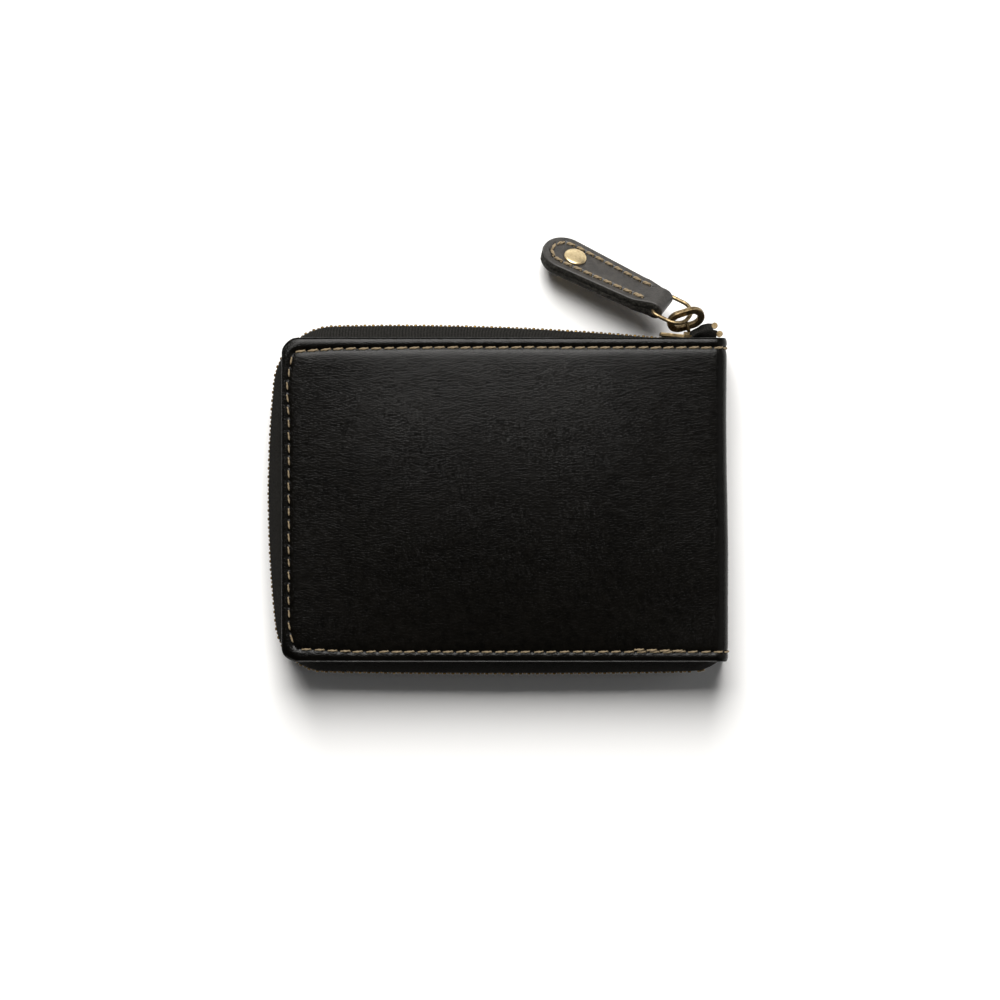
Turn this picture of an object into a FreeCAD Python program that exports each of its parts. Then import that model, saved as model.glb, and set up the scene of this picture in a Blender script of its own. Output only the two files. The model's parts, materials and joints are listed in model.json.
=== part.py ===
"""Zip around wallet: two leather covers joined by a spine, closed by a metal zip on three sides.

The wallet lies closed on its back cover.  The origin is the centre of the back cover's outer face.
+X runs to the spine, +Y to the side where the zip closes, +Z up to the front cover.
Lengths are in millimetres.
"""
import FreeCAD, Part
import math
import os

from FreeCAD import Vector

# ---------------------------------------------------------------- driving dimensions
THICKNESS = 22.0            # closed wallet, outer face to outer face
HALF_WIDTH = 60.2           # origin to the spine's outer face, and to the covers' free edge
HALF_DEPTH = 43.6           # origin to the covers' long edges
COVER_CORNER = 5.0          # corner radius at the free edge
COVER_LEATHER = 1.5
BOARD = 0.8
LINING = 0.5
POCKET_LEATHER = 0.8
SMALL_GAP = 0.05
RUNNING_GAP = 0.02          # between parts that fit inside one another

STITCH_INSET = 2.2          # stitch line to cover edge
STITCH_PITCH = 3.45
STITCH_LENGTH = 2.7
STITCH_WIDTH = 0.62
STITCH_DEPTH = 0.35
GROOVE_WIDTH = 0.9

TOOTH_PITCH = 2.3           # of one row
TOOTH_LENGTH = 0.95         # along the chain
TOOTH_WIDTH = 2.4           # through the chain
TOOTH_REACH = 2.25          # from the chain's middle to the tape
TOOTH_MESH = 0.45           # past the chain's middle
TOOTH_HEAD = 0.75           # width of its head, as a share of its root
TOOTHLESS_END = 8.0         # of the chain, past the last tooth
TAPE_THICKNESS = 0.5
TAPE_FLANGE = 5.0           # width of tape sewn under the cover
TAPE_OPENING = 4.0          # how far the hollow between the walls runs on past the tape

TOP_RADIUS = 760.0          # the chain's long side that the slider runs along
TOP_APEX = Vector(-30.0, 46.9, 0)
LEFT_RADIUS = 320.0
LEFT_APEX = Vector(-63.9, 1.5, 0)
BOTTOM_RADIUS = 2400.0
BOTTOM_APEX = Vector(0.0, -46.3, 0)
UPPER_CORNER = 16.0
LOWER_CORNER = 13.0
TAIL_START_X = 50.0         # where the chain turns in to the spine
TAIL_RADIUS = 12.0
TAIL_ANGLE = 38.0

SLIDER_X = 46.5
SLIDER_LENGTH = 9.5
SLIDER_NARROW = 5.8
SLIDER_WIDE = 7.6
SLIDER_GAP = 1.5            # half the space between its plates
SLIDER_PLATE = 0.8
SLIDER_ROUND = 0.5
SLIDER_TAPER = 3.0          # from its wide end to where it starts to narrow
SLIDER_CHAMFER = 1.0
RIM_HEIGHT = 0.8            # lip that holds the tape's edge
RIM_WIDTH = 0.5
RIM_INSET = 0.6
BRIDGE_LENGTH = 2.6
BRIDGE_HEIGHT = 1.0

BAIL_RADIUS = 1.7
BAIL_WIRE = 0.42
BAIL_FOOT = (1.5, 2.2)      # along the slider, and across it
BAIL_OVERLAP = 0.1
LOOP_PIVOT = Vector(49.5, 47.6, THICKNESS / 2)
LOOP_HEADING = 17.0         # degrees from +X to the loop's straight arm
LOOP_TILT = 48.0            # degrees that the loop stands up
LOOP_LONG = 10.5
LOOP_SHORT = 7.3
LOOP_BAND = 1.85
LOOP_THICKNESS = 1.3

TAB_PIVOT = Vector(41.622, 53.836, 12.025)
TAB_ALONG = Vector(-0.870, 0.440, -0.209)
TAB_NORMAL = Vector(0.180, 0.687, 0.704)
RING_WIRE = 0.55
RING_WIDTH = 9.4
RING_LENGTH = 9.2
RING_NEAR_CORNER = 1.6      # at the tab
RING_FAR_CORNER = 3.9       # at the pull loop
TAB_LEATHER = 1.8
TAB_EYE = 0.85
TAB_NECK_AT = 5.5
TAB_FOLD_HALF = 3.8
TAB_NECK_HALF = 5.2
TAB_FOLD_END = 1.0          # where the fold's straight sides start to widen
TAB_CLOSED_AT = 7.0         # where its two layers meet
TAB_ROUND_AT = 29.2
TAB_ROUND_RADIUS = 6.4
TAB_STITCH_INSET = 1.7
TAB_STITCH_PITCH = 2.95
TAB_STITCH_LENGTH = 2.1
TAB_STITCH_WIDTH = 0.5
TAB_STITCH_HEIGHT = 0.3
TAB_STITCH_MARGIN = 2.5     # free run of the line at both its ends
RIVET_AT = 26.3
RIVET_RADIUS = 3.1
RIVET_HEIGHT = 0.8
RIVET_SHANK = 1.4
CAP_ROUND = 0.45
BACK_ROUND = 0.3

BACK_END = (Vector(52.2, 43.2, 0), Vector(56.4, 47.2, 0))    # loose ends of the tapes
FRONT_END = (Vector(52.6, 42.6, 0), Vector(57.4, 45.0, 0))
END_HEIGHT = 2.6
END_GAP = 0.6               # from a loose end to the middle of the wallet
STOP_RADIUS = 0.85
STOP_HEIGHT = 2.4
BOTTOM_STOP = (2.0, 2.4, 3.8)
BOTTOM_STOP_AT = 5.0        # back from the chain's end
FIRST_TOOTH_INSIDE = 2.5    # how far the first tooth is inside the slider

MIDDLE = THICKNESS / 2
FOLD_X = HALF_WIDTH - COVER_LEATHER
TAPE_END_X = FOLD_X - 1.7
Z_AXIS = Vector(0, 0, 1)

HINGE_CLEAR = 3.0           # flat layers stop this far short of the spine
BOARD_INSET = TAPE_FLANGE + 1.0
LINING_INSET = 3.4
INNER_TOP = COVER_LEATHER + BOARD + LINING
WALL_GAP = 0.35             # under the divider, for folded notes
WALL_LOW = INNER_TOP + WALL_GAP
POCKET_RIGHT = FOLD_X - 6.0
POCKET_LEFT = -HALF_WIDTH + 8.0
POCKET_BOTTOM = -HALF_DEPTH + 7.0
POCKET_FOOT = 4.0
BILL_WALL_TOP = HALF_DEPTH - 12.0
FIRST_POCKET_DROP = 4.0
POCKET_STEP = 12.0
POCKET_COUNT = 3
THUMB_RADIUS = 9.0
THUMB_RISE = 5.5            # centre of the thumb notch over the pocket's mouth
SPINE_END_GAP = 2.0
SPINE_SIDE_INSET = 3.0


# ---------------------------------------------------------------- helpers
def save(name, shape):
    shape.exportStep("parts/" + name + ".step")
    print(name, len(shape.Solids), "solids", round(shape.Volume, 1), "mm3", shape.isValid())


def block(low, high):
    size = [high[i] - low[i] for i in range(3)]
    return Part.makeBox(size[0], size[1], size[2], Vector(*low))


def local_frame(origin, x_direction, z_direction):
    """Placement whose X and Z lie along the two directions."""
    x_unit = Vector(x_direction).normalize()
    y_unit = Vector(z_direction).cross(x_unit).normalize()
    z_unit = x_unit.cross(y_unit)
    matrix = FreeCAD.Matrix(
        x_unit.x, y_unit.x, z_unit.x, origin.x,
        x_unit.y, y_unit.y, z_unit.y, origin.y,
        x_unit.z, y_unit.z, z_unit.z, origin.z,
        0, 0, 0, 1,
    )
    return FreeCAD.Placement(matrix)


def placed(shape, placement):
    copy = shape.copy()
    copy.Placement = placement.multiply(copy.Placement)
    return copy


def upside_down(shape):
    """The same shape in the other half of the closed wallet."""
    return shape.mirror(Vector(0, 0, MIDDLE), Z_AXIS)


def arc(start, middle, end):
    return Part.Arc(start, middle, end).toShape()


def line(start, end):
    return Part.LineSegment(start, end).toShape()


def arc_about(centre, radius, start, end):
    """The short arc from start to end about a centre."""
    towards = (start - centre).normalize() + (end - centre).normalize()
    return arc(start, centre + towards.normalize() * radius, end)


def panel(right, inset, z_low, z_high, corner=COVER_CORNER):
    """A flat panel: straight at the spine side, round cornered at the free edge."""
    left = -HALF_WIDTH + inset
    side = HALF_DEPTH - inset
    radius = max(corner - inset, 0.5)
    edges = panel_edges(left, right, side, radius, z_low)
    return Part.Face(Part.Wire(edges)).extrude(Vector(0, 0, z_high - z_low))


def panel_edges(left, right, side, radius, z):
    upper = Vector(left + radius, side - radius, z)
    lower = Vector(left + radius, -side + radius, z)
    top_right = Vector(right, side, z)
    top_left = upper + Vector(0, radius, 0)
    left_top = upper + Vector(-radius, 0, 0)
    left_bottom = lower + Vector(-radius, 0, 0)
    bottom_left = lower + Vector(0, -radius, 0)
    bottom_right = Vector(right, -side, z)
    return [
        line(top_right, top_left),
        arc_about(upper, radius, top_left, left_top),
        line(left_top, left_bottom),
        arc_about(lower, radius, left_bottom, bottom_left),
        line(bottom_left, bottom_right),
        line(bottom_right, top_right),
    ]


# ---------------------------------------------------------------- the zip's line
def tangent_centre(centre_a, radius_a, centre_b, radius_b, near):
    """Centre of a circle that lies inside two circles, at the crossing nearest a point."""
    between = centre_b - centre_a
    distance = between.Length
    along = (radius_a ** 2 - radius_b ** 2 + distance ** 2) / (2 * distance)
    across = math.sqrt(radius_a ** 2 - along ** 2)
    unit = between * (1 / distance)
    side = Vector(-unit.y, unit.x, 0)
    choices = [centre_a + unit * along + side * (sign * across) for sign in (1, -1)]
    return min(choices, key=lambda point: (point - near).Length)


def chain_edges(inset, z, right_x=TAPE_END_X):
    """The chain's line, from the slider's end round the free edge to the other end."""
    top = TOP_APEX - Vector(0, TOP_RADIUS, 0)
    left = LEFT_APEX + Vector(LEFT_RADIUS, 0, 0)
    bottom = BOTTOM_APEX + Vector(0, BOTTOM_RADIUS, 0)
    up = Vector(0, 0, z)
    upper = tangent_centre(top, TOP_RADIUS - UPPER_CORNER, left, LEFT_RADIUS - UPPER_CORNER,
                           Vector(-HALF_WIDTH, HALF_DEPTH, 0))
    lower = tangent_centre(left, LEFT_RADIUS - LOWER_CORNER, bottom, BOTTOM_RADIUS - LOWER_CORNER,
                           Vector(-HALF_WIDTH, -HALF_DEPTH, 0))

    def on(centre, radius, towards):
        return centre + (towards - centre).normalize() * (radius - inset) + up

    def at_x(centre, radius, x, sign):
        height = math.sqrt((radius - inset) ** 2 - (x - centre.x) ** 2)
        return Vector(x, centre.y + sign * height, z)

    start = at_x(top, TOP_RADIUS, right_x, 1)
    top_left = on(top, TOP_RADIUS, upper)
    left_top = on(left, LEFT_RADIUS, upper)
    left_low = on(left, LEFT_RADIUS, lower)
    low_left = on(bottom, BOTTOM_RADIUS, lower)
    tail = at_x(bottom, BOTTOM_RADIUS, TAIL_START_X, -1)
    tail_centre = tail + Vector(0, TAIL_RADIUS - inset, 0)
    angle = math.radians(TAIL_ANGLE)
    reach = Vector(math.sin(angle), -math.cos(angle), 0) * (TAIL_RADIUS - inset)
    return [
        arc_about(top + up, TOP_RADIUS - inset, start, top_left),
        arc_about(upper + up, UPPER_CORNER - inset, top_left, left_top),
        arc_about(left + up, LEFT_RADIUS - inset, left_top, left_low),
        arc_about(lower + up, LOWER_CORNER - inset, left_low, low_left),
        arc_about(bottom + up, BOTTOM_RADIUS - inset, low_left, tail),
        arc_about(tail_centre, TAIL_RADIUS - inset, tail, tail_centre + reach),
    ]


def stations(edges, pitch, first, last=0.0):
    """Places at equal steps along joined edges: (point, direction)."""
    total = sum(edge.Length for edge in edges)
    distance = first
    found = []
    while distance <= total - last:
        remaining = distance
        for edge in edges:
            if remaining <= edge.Length:
                parameter = edge.getParameterByLength(remaining)
                found.append((edge.valueAt(parameter), edge.tangentAt(parameter)))
                break
            remaining -= edge.Length
        distance += pitch
    return found


def top_point(x):
    """Point of the chain's middle line on the side that the slider runs along."""
    centre = TOP_APEX - Vector(0, TOP_RADIUS, 0)
    radial = Vector(x - centre.x, math.sqrt(TOP_RADIUS ** 2 - (x - centre.x) ** 2), 0)
    return centre + radial + Vector(0, 0, MIDDLE)


# ---------------------------------------------------------------- covers and inside
def cover():
    """Back cover with the groove that its stitches lie in."""
    leather = panel(FOLD_X, 0, 0, COVER_LEATHER)
    return leather.cut(stitch_groove())


def stitch_groove():
    outside = panel(FOLD_X + 1, STITCH_INSET - GROOVE_WIDTH / 2, -1, STITCH_DEPTH)
    inside = panel(FOLD_X + 2, STITCH_INSET + GROOVE_WIDTH / 2, -2, STITCH_DEPTH + 1)
    return outside.cut(inside)


def cover_stitches():
    """Stitches in the back cover's groove, along the three sewn edges."""
    side = HALF_DEPTH - STITCH_INSET
    radius = COVER_CORNER - STITCH_INSET
    edges = panel_edges(-HALF_WIDTH + STITCH_INSET, FOLD_X - 0.4, side, radius, 0)[:5]
    stitch = block((-STITCH_LENGTH / 2, -STITCH_WIDTH / 2, 0.03),
                   (STITCH_LENGTH / 2, STITCH_WIDTH / 2, STITCH_DEPTH))
    found = []
    for point, direction in stations(edges, STITCH_PITCH, STITCH_PITCH / 2, STITCH_PITCH / 2):
        found.append(placed(stitch, local_frame(point, direction, Z_AXIS)))
    clear = [one for one in found if one.common(stitch_groove()).Volume > 0.97 * one.Volume]
    return Part.makeCompound(clear)


def stiffener():
    return panel(FOLD_X - HINGE_CLEAR, BOARD_INSET, COVER_LEATHER, COVER_LEATHER + BOARD)


def lining():
    low = COVER_LEATHER + BOARD
    return panel(FOLD_X - HINGE_CLEAR, LINING_INSET, low, low + LINING)


def bill_wall():
    """Divider in front of the note compartment, with a turned edge along its mouth."""
    high = WALL_LOW + POCKET_LEATHER
    sheet = block((POCKET_LEFT, POCKET_BOTTOM, WALL_LOW), (POCKET_RIGHT, BILL_WALL_TOP, high))
    foot_top = POCKET_BOTTOM + POCKET_FOOT
    foot = block((POCKET_LEFT, POCKET_BOTTOM, INNER_TOP), (POCKET_RIGHT, foot_top, WALL_LOW))
    return sheet.fuse(foot).removeSplitter()


def card_pocket(index):
    """One of the stepped pockets; each starts lower than the one behind it."""
    low = WALL_LOW + POCKET_LEATHER * (index + 1) + RUNNING_GAP
    high = low + POCKET_LEATHER - 2 * RUNNING_GAP
    top = BILL_WALL_TOP - FIRST_POCKET_DROP - POCKET_STEP * index
    sheet = block((POCKET_LEFT, POCKET_BOTTOM, low), (POCKET_RIGHT, top, high))
    centre = Vector((POCKET_LEFT + POCKET_RIGHT) / 2, top + THUMB_RISE, low - 1)
    thumb = Part.makeCylinder(THUMB_RADIUS, POCKET_LEATHER + 2, centre)
    return sheet.cut(thumb)


def spine_piece(x_low, x_high, end_gap, side_inset):
    return block((x_low, -HALF_DEPTH + side_inset, COVER_LEATHER + end_gap),
                 (x_high, HALF_DEPTH - side_inset, THICKNESS - COVER_LEATHER - end_gap))


# ---------------------------------------------------------------- zip tape and teeth
def chain_region(inset, overhang, z_low, z_high):
    """The flat region inside the chain's line; overhang carries it on past the tape's ends."""
    edges = chain_edges(inset, z_low, TAPE_END_X + overhang)
    end = edges[-1].Vertexes[-1].Point
    if overhang:
        angle = math.radians(TAIL_ANGLE)
        beyond = end + Vector(math.cos(angle), math.sin(angle), 0) * overhang
        edges.append(line(end, beyond))
        end = beyond
    edges.append(line(end, edges[0].Vertexes[0].Point))
    return Part.Face(Part.Wire(edges)).extrude(Vector(0, 0, z_high - z_low))


def zip_tape():
    """The back tape: a flange under the cover and a wall that stands up to the teeth."""
    low = COVER_LEATHER + SMALL_GAP
    high = MIDDLE - TOOTH_REACH - SMALL_GAP
    solid = chain_region(0, 0, low, high)
    hollow = chain_region(TAPE_THICKNESS, TAPE_OPENING, low + TAPE_THICKNESS, high + 1)
    window = panel(TAPE_END_X + 1, TAPE_FLANGE, low - 1, low + 1)
    return solid.cut(hollow).cut(window)


def tooth_row(first):
    """One row of teeth, standing up from the back tape to the chain's middle."""
    half = TOOTH_LENGTH / 2
    side = TOOTH_WIDTH / 2
    root = block((-half, -side, -TOOTH_REACH), (half, side, -TOOTH_MESH))
    head_side = side * TOOTH_HEAD
    head = block((-half, -head_side, -TOOTH_MESH), (half, head_side, TOOTH_MESH))
    tooth = root.fuse(head)
    row = []
    for point, direction in stations(chain_edges(0, MIDDLE), TOOTH_PITCH, first, TOOTHLESS_END):
        row.append(placed(tooth, local_frame(point, direction, Z_AXIS)))
    return Part.makeCompound(row)


# ---------------------------------------------------------------- slider and pull
def slider_body():
    """Two plates joined by the bridge that parts the rows; X towards the spine, Y outwards."""
    half = SLIDER_LENGTH / 2
    taper = half - SLIDER_TAPER
    narrow = SLIDER_NARROW / 2
    wide = SLIDER_WIDE / 2
    outline = [
        Vector(-half, 0, -narrow), Vector(taper, 0, -wide), Vector(half, 0, -wide + SLIDER_CHAMFER),
        Vector(half, 0, wide - SLIDER_CHAMFER), Vector(taper, 0, wide), Vector(-half, 0, narrow),
    ]
    face = Part.Face(Part.makePolygon(outline + outline[:1]))
    plate = face.extrude(Vector(0, SLIDER_PLATE, 0))
    corners = [edge for edge in plate.Edges if abs(edge.tangentAt(edge.FirstParameter).y) > 0.99]
    plate = plate.makeFillet(SLIDER_ROUND, corners)
    outer = plate.translated(Vector(0, SLIDER_GAP, 0))
    inner = plate.translated(Vector(0, -SLIDER_GAP - SLIDER_PLATE, 0))
    rim_low = (-half + RIM_INSET, SLIDER_GAP - RIM_HEIGHT, -narrow)
    rim = block(rim_low, (taper, SLIDER_GAP, -narrow + RIM_WIDTH))
    bridge = block((half - BRIDGE_LENGTH, -SLIDER_GAP, -BRIDGE_HEIGHT / 2),
                   (half, SLIDER_GAP, BRIDGE_HEIGHT / 2))
    return placed(outer.fuse([inner, bridge, rim]), slider_frame())


def slider_frame():
    point = top_point(SLIDER_X)
    ahead = top_point(SLIDER_X + 0.5) - top_point(SLIDER_X - 0.5)
    return local_frame(point, ahead, Z_AXIS)


def loop_frame():
    heading = math.radians(LOOP_HEADING)
    tilt = math.radians(LOOP_TILT)
    arm = Vector(math.cos(heading), math.sin(heading), 0)
    level = Vector(-math.sin(heading), math.cos(heading), 0)
    rising = level * math.cos(tilt) + Z_AXIS * math.sin(tilt)
    return local_frame(LOOP_PIVOT, arm, arm.cross(rising))


def slider_bail():
    """Ring round the pull loop's straight arm, on a foot that stands on the slider."""
    heading = math.radians(LOOP_HEADING)
    arm = Vector(math.cos(heading), math.sin(heading), 0)
    eye = Part.makeTorus(BAIL_RADIUS, BAIL_WIRE, LOOP_PIVOT, arm)
    plate_y = SLIDER_GAP + SLIDER_PLATE
    across = slider_frame().inverse().multVec(LOOP_PIVOT)
    reach = across.y - BAIL_RADIUS + BAIL_OVERLAP
    long_half, wide_half = BAIL_FOOT[0] / 2, BAIL_FOOT[1] / 2
    foot_low = (across.x - long_half, plate_y, -wide_half)
    foot = block(foot_low, (across.x + long_half, reach, wide_half))
    return eye.fuse(placed(foot, slider_frame()))


def stadium(long_side, short_side, z_low, z_high):
    radius = short_side / 2
    straight = long_side / 2 - radius
    height = z_high - z_low
    ends = [Part.makeCylinder(radius, height, Vector(x, radius, z_low)) for x in (-straight, straight)]
    middle = block((-straight, 0, z_low), (straight, short_side, z_high))
    return middle.fuse(ends).removeSplitter()


def pull_loop():
    """Flat oval link; its straight arm is on the local X axis."""
    half = LOOP_THICKNESS / 2
    outside = stadium(LOOP_LONG, LOOP_SHORT, -half, half)
    hole = stadium(LOOP_LONG - 2 * LOOP_BAND, LOOP_SHORT - 2 * LOOP_BAND, -half - 1, half + 1)
    link = outside.cut(hole.translated(Vector(0, LOOP_BAND, 0)))
    link.translate(Vector(0, -LOOP_BAND / 2, 0))
    return placed(link, loop_frame())


def tab_frame():
    return local_frame(TAB_PIVOT, TAB_ALONG, TAB_NORMAL)


def pull_ring():
    """Closed wire link in the tab's plane; the tab folds round its side on the local Y axis."""
    half = RING_WIDTH / 2
    near = RING_NEAR_CORNER
    far = RING_FAR_CORNER
    end = -RING_LENGTH
    corners = [
        (Vector(-near, half - near, 0), near, Vector(0, half - near, 0), Vector(-near, half, 0)),
        (Vector(end + far, half - far, 0), far, Vector(end + far, half, 0), Vector(end, half - far, 0)),
        (Vector(end + far, far - half, 0), far, Vector(end, far - half, 0), Vector(end + far, -half, 0)),
        (Vector(-near, near - half, 0), near, Vector(-near, -half, 0), Vector(0, near - half, 0)),
    ]
    edges = []
    previous = corners[-1][3]
    for centre, radius, start, finish in corners:
        edges.append(line(previous, start))
        edges.append(arc_about(centre, radius, start, finish))
        previous = finish
    section = Part.Wire(Part.makeCircle(RING_WIRE, corners[-1][3], Vector(0, 1, 0)))
    ring = Part.Wire(edges).makePipeShell([section], True, False)
    return placed(ring, tab_frame())


def tab_outline(grow, z):
    """Outline of the tab seen flat: narrow at the fold, widest at its round end."""
    fold_x = -TAB_EYE - TAB_LEATHER - 1.0
    half_round = TAB_ROUND_RADIUS + grow
    neck = TAB_NECK_HALF + grow
    fold = TAB_FOLD_HALF + grow
    rise = math.atan2(half_round - neck, TAB_ROUND_AT - TAB_NECK_AT)
    touch = Vector(TAB_ROUND_AT - half_round * math.sin(rise), half_round * math.cos(rise), z)
    mirrored = Vector(touch.x, -touch.y, z)
    tip = Vector(TAB_ROUND_AT + half_round, 0, z)
    return [
        line(Vector(fold_x, fold, z), Vector(TAB_FOLD_END, fold, z)),
        line(Vector(TAB_FOLD_END, fold, z), Vector(TAB_NECK_AT, neck, z)),
        line(Vector(TAB_NECK_AT, neck, z), touch),
        arc(touch, tip, mirrored),
        line(mirrored, Vector(TAB_NECK_AT, -neck, z)),
        line(Vector(TAB_NECK_AT, -neck, z), Vector(TAB_FOLD_END, -fold, z)),
        line(Vector(TAB_FOLD_END, -fold, z), Vector(fold_x, -fold, z)),
        line(Vector(fold_x, -fold, z), Vector(fold_x, fold, z)),
    ]


def tab_leather():
    """One strap folded round the ring and closed on itself."""
    bend = TAB_EYE + TAB_LEATHER
    wide = TAB_ROUND_RADIUS + 2
    end = TAB_ROUND_AT + TAB_ROUND_RADIUS + 2
    run = TAB_CLOSED_AT
    angle = math.asin((bend - TAB_LEATHER) / math.hypot(run, bend - TAB_LEATHER))
    touch = Vector(bend * math.sin(angle), 0, bend * math.cos(angle))
    side = Part.Wire([
        arc(Vector(touch.x, 0, touch.z), Vector(-bend, 0, 0), Vector(touch.x, 0, -touch.z)),
        line(Vector(touch.x, 0, -touch.z), Vector(run, 0, -TAB_LEATHER)),
        line(Vector(run, 0, -TAB_LEATHER), Vector(end, 0, -TAB_LEATHER)),
        line(Vector(end, 0, -TAB_LEATHER), Vector(end, 0, TAB_LEATHER)),
        line(Vector(end, 0, TAB_LEATHER), Vector(run, 0, TAB_LEATHER)),
        line(Vector(run, 0, TAB_LEATHER), Vector(touch.x, 0, touch.z)),
    ])
    strap = Part.Face(side).extrude(Vector(0, 2 * wide, 0)).translated(Vector(0, -wide, 0))
    outline = Part.Face(Part.Wire(tab_outline(0, -5))).extrude(Vector(0, 0, 10))
    eye = Part.makeCylinder(TAB_EYE, 2 * wide, Vector(0, -wide, 0), Vector(0, 1, 0))
    shank = Part.makeCylinder(RIVET_SHANK + RUNNING_GAP, 10, Vector(RIVET_AT, 0, -5))
    return placed(strap.common(outline).cut(eye).cut(shank), tab_frame())


def tab_stitches():
    """Stitches on both faces of the tab, down its sides and round its end."""
    edges = tab_outline(-TAB_STITCH_INSET, 0)[2:5]
    half_long, half_wide = TAB_STITCH_LENGTH / 2, TAB_STITCH_WIDTH / 2
    stitch = block((-half_long, -half_wide, 0), (half_long, half_wide, TAB_STITCH_HEIGHT))
    found = []
    for point, direction in stations(edges, TAB_STITCH_PITCH, TAB_STITCH_MARGIN, TAB_STITCH_MARGIN):
        for side in (1, -1):
            seat = point + Vector(0, 0, side * TAB_LEATHER)
            found.append(placed(stitch, local_frame(seat, direction, Z_AXIS * side)))
    return placed(Part.makeCompound(found), tab_frame())


def rivet_cap():
    """Domed cap with the shank that goes through the tab."""
    disc = Part.makeCylinder(RIVET_RADIUS, RIVET_HEIGHT, Vector(RIVET_AT, 0, TAB_LEATHER))
    rim = [edge for edge in disc.Edges if edge.BoundBox.ZMin > TAB_LEATHER + 0.5 * RIVET_HEIGHT]
    disc = disc.makeFillet(CAP_ROUND, rim)
    shank = Part.makeCylinder(RIVET_SHANK, 2 * TAB_LEATHER, Vector(RIVET_AT, 0, -TAB_LEATHER))
    return placed(disc.fuse(shank), tab_frame())


def rivet_back():
    disc = Part.makeCylinder(RIVET_RADIUS, RIVET_HEIGHT, Vector(RIVET_AT, 0, -TAB_LEATHER - RIVET_HEIGHT))
    rim = [edge for edge in disc.Edges if edge.BoundBox.ZMax < -TAB_LEATHER - 0.5 * RIVET_HEIGHT]
    return placed(disc.makeFillet(BACK_ROUND, rim), tab_frame())


# ---------------------------------------------------------------- tape ends and stops
def tape_end(start, end, z_low, z_high):
    """Loose end of one tape, past the slider."""
    direction = (end - start).normalize()
    side = Vector(-direction.y, direction.x, 0) * (TAPE_THICKNESS / 2)
    corners = [start + side, end + side, end - side, start - side]
    raised = [Vector(corner.x, corner.y, z_low) for corner in corners]
    return Part.Face(Part.makePolygon(raised + raised[:1])).extrude(Vector(0, 0, z_high - z_low))


def top_stop(tape, z):
    """Brass crimp on a tape's loose end."""
    start, end = tape
    direction = (end - start).normalize()
    foot = Vector(end.x, end.y, z - STOP_HEIGHT / 2) + direction * (STOP_RADIUS + RUNNING_GAP)
    return Part.makeCylinder(STOP_RADIUS, STOP_HEIGHT, foot)


def bottom_stop():
    """Crimp that closes the chain at its other end."""
    edges = chain_edges(0, MIDDLE)
    place = sum(edge.Length for edge in edges) - BOTTOM_STOP_AT
    point, direction = stations(edges, 1.0, place)[0]
    half = [size / 2 for size in BOTTOM_STOP]
    stop = block([-size for size in half], half)
    return placed(stop, local_frame(point, direction, Z_AXIS))


# ---------------------------------------------------------------- write the nodes
def main():
    os.makedirs("parts", exist_ok=True)
    lying = {
        "cover": cover(),
        "stitching": cover_stitches(),
        "stiffener": stiffener(),
        "lining": lining(),
        "bill_wall": bill_wall(),
    }
    for index in range(POCKET_COUNT):
        lying["card_pocket_" + str(index + 1)] = card_pocket(index)
    for name, shape in lying.items():
        save("back_" + name, shape)
        save("front_" + name, upside_down(shape))

    tape = zip_tape()
    back_tail = tape_end(BACK_END[0], BACK_END[1], MIDDLE - END_GAP - END_HEIGHT, MIDDLE - END_GAP)
    front_tail = tape_end(FRONT_END[0], FRONT_END[1], MIDDLE + END_GAP, MIDDLE + END_GAP + END_HEIGHT)
    save("back_zip_tape", Part.makeCompound([tape, back_tail]))
    save("front_zip_tape", Part.makeCompound([upside_down(tape), front_tail]))
    to_slider = (top_point(TAPE_END_X) - top_point(SLIDER_X)).Length
    first = to_slider + SLIDER_LENGTH / 2 - FIRST_TOOTH_INSIDE
    save("back_zip_teeth", tooth_row(first + TOOTH_PITCH / 2))
    save("front_zip_teeth", upside_down(tooth_row(first)))
    stop_offset = END_GAP + END_HEIGHT / 2
    save("back_top_stop", top_stop(BACK_END, MIDDLE - stop_offset))
    save("front_top_stop", top_stop(FRONT_END, MIDDLE + stop_offset))
    save("bottom_stop", bottom_stop())

    save("spine_cover", spine_piece(FOLD_X, HALF_WIDTH, 0, 0))
    board_x = FOLD_X - BOARD
    save("spine_stiffener", spine_piece(board_x, FOLD_X, SPINE_END_GAP, SPINE_SIDE_INSET))
    save("spine_lining", spine_piece(board_x - LINING, board_x, SPINE_END_GAP, SPINE_SIDE_INSET))

    save("slider_body", slider_body())
    save("slider_bail", slider_bail())
    save("pull_loop", pull_loop())
    save("pull_ring", pull_ring())
    save("pull_leather", tab_leather())
    save("pull_stitching", tab_stitches())
    save("rivet_cap", rivet_cap())
    save("rivet_back", rivet_back())


main()
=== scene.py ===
"""Looks of the zip around wallet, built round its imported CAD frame.

Lengths here are in millimetres until a mesh is made, and the frame's own places give where things are.
"""
import json
import math

import bmesh
import bpy
import numpy as np
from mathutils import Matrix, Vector, noise


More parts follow.
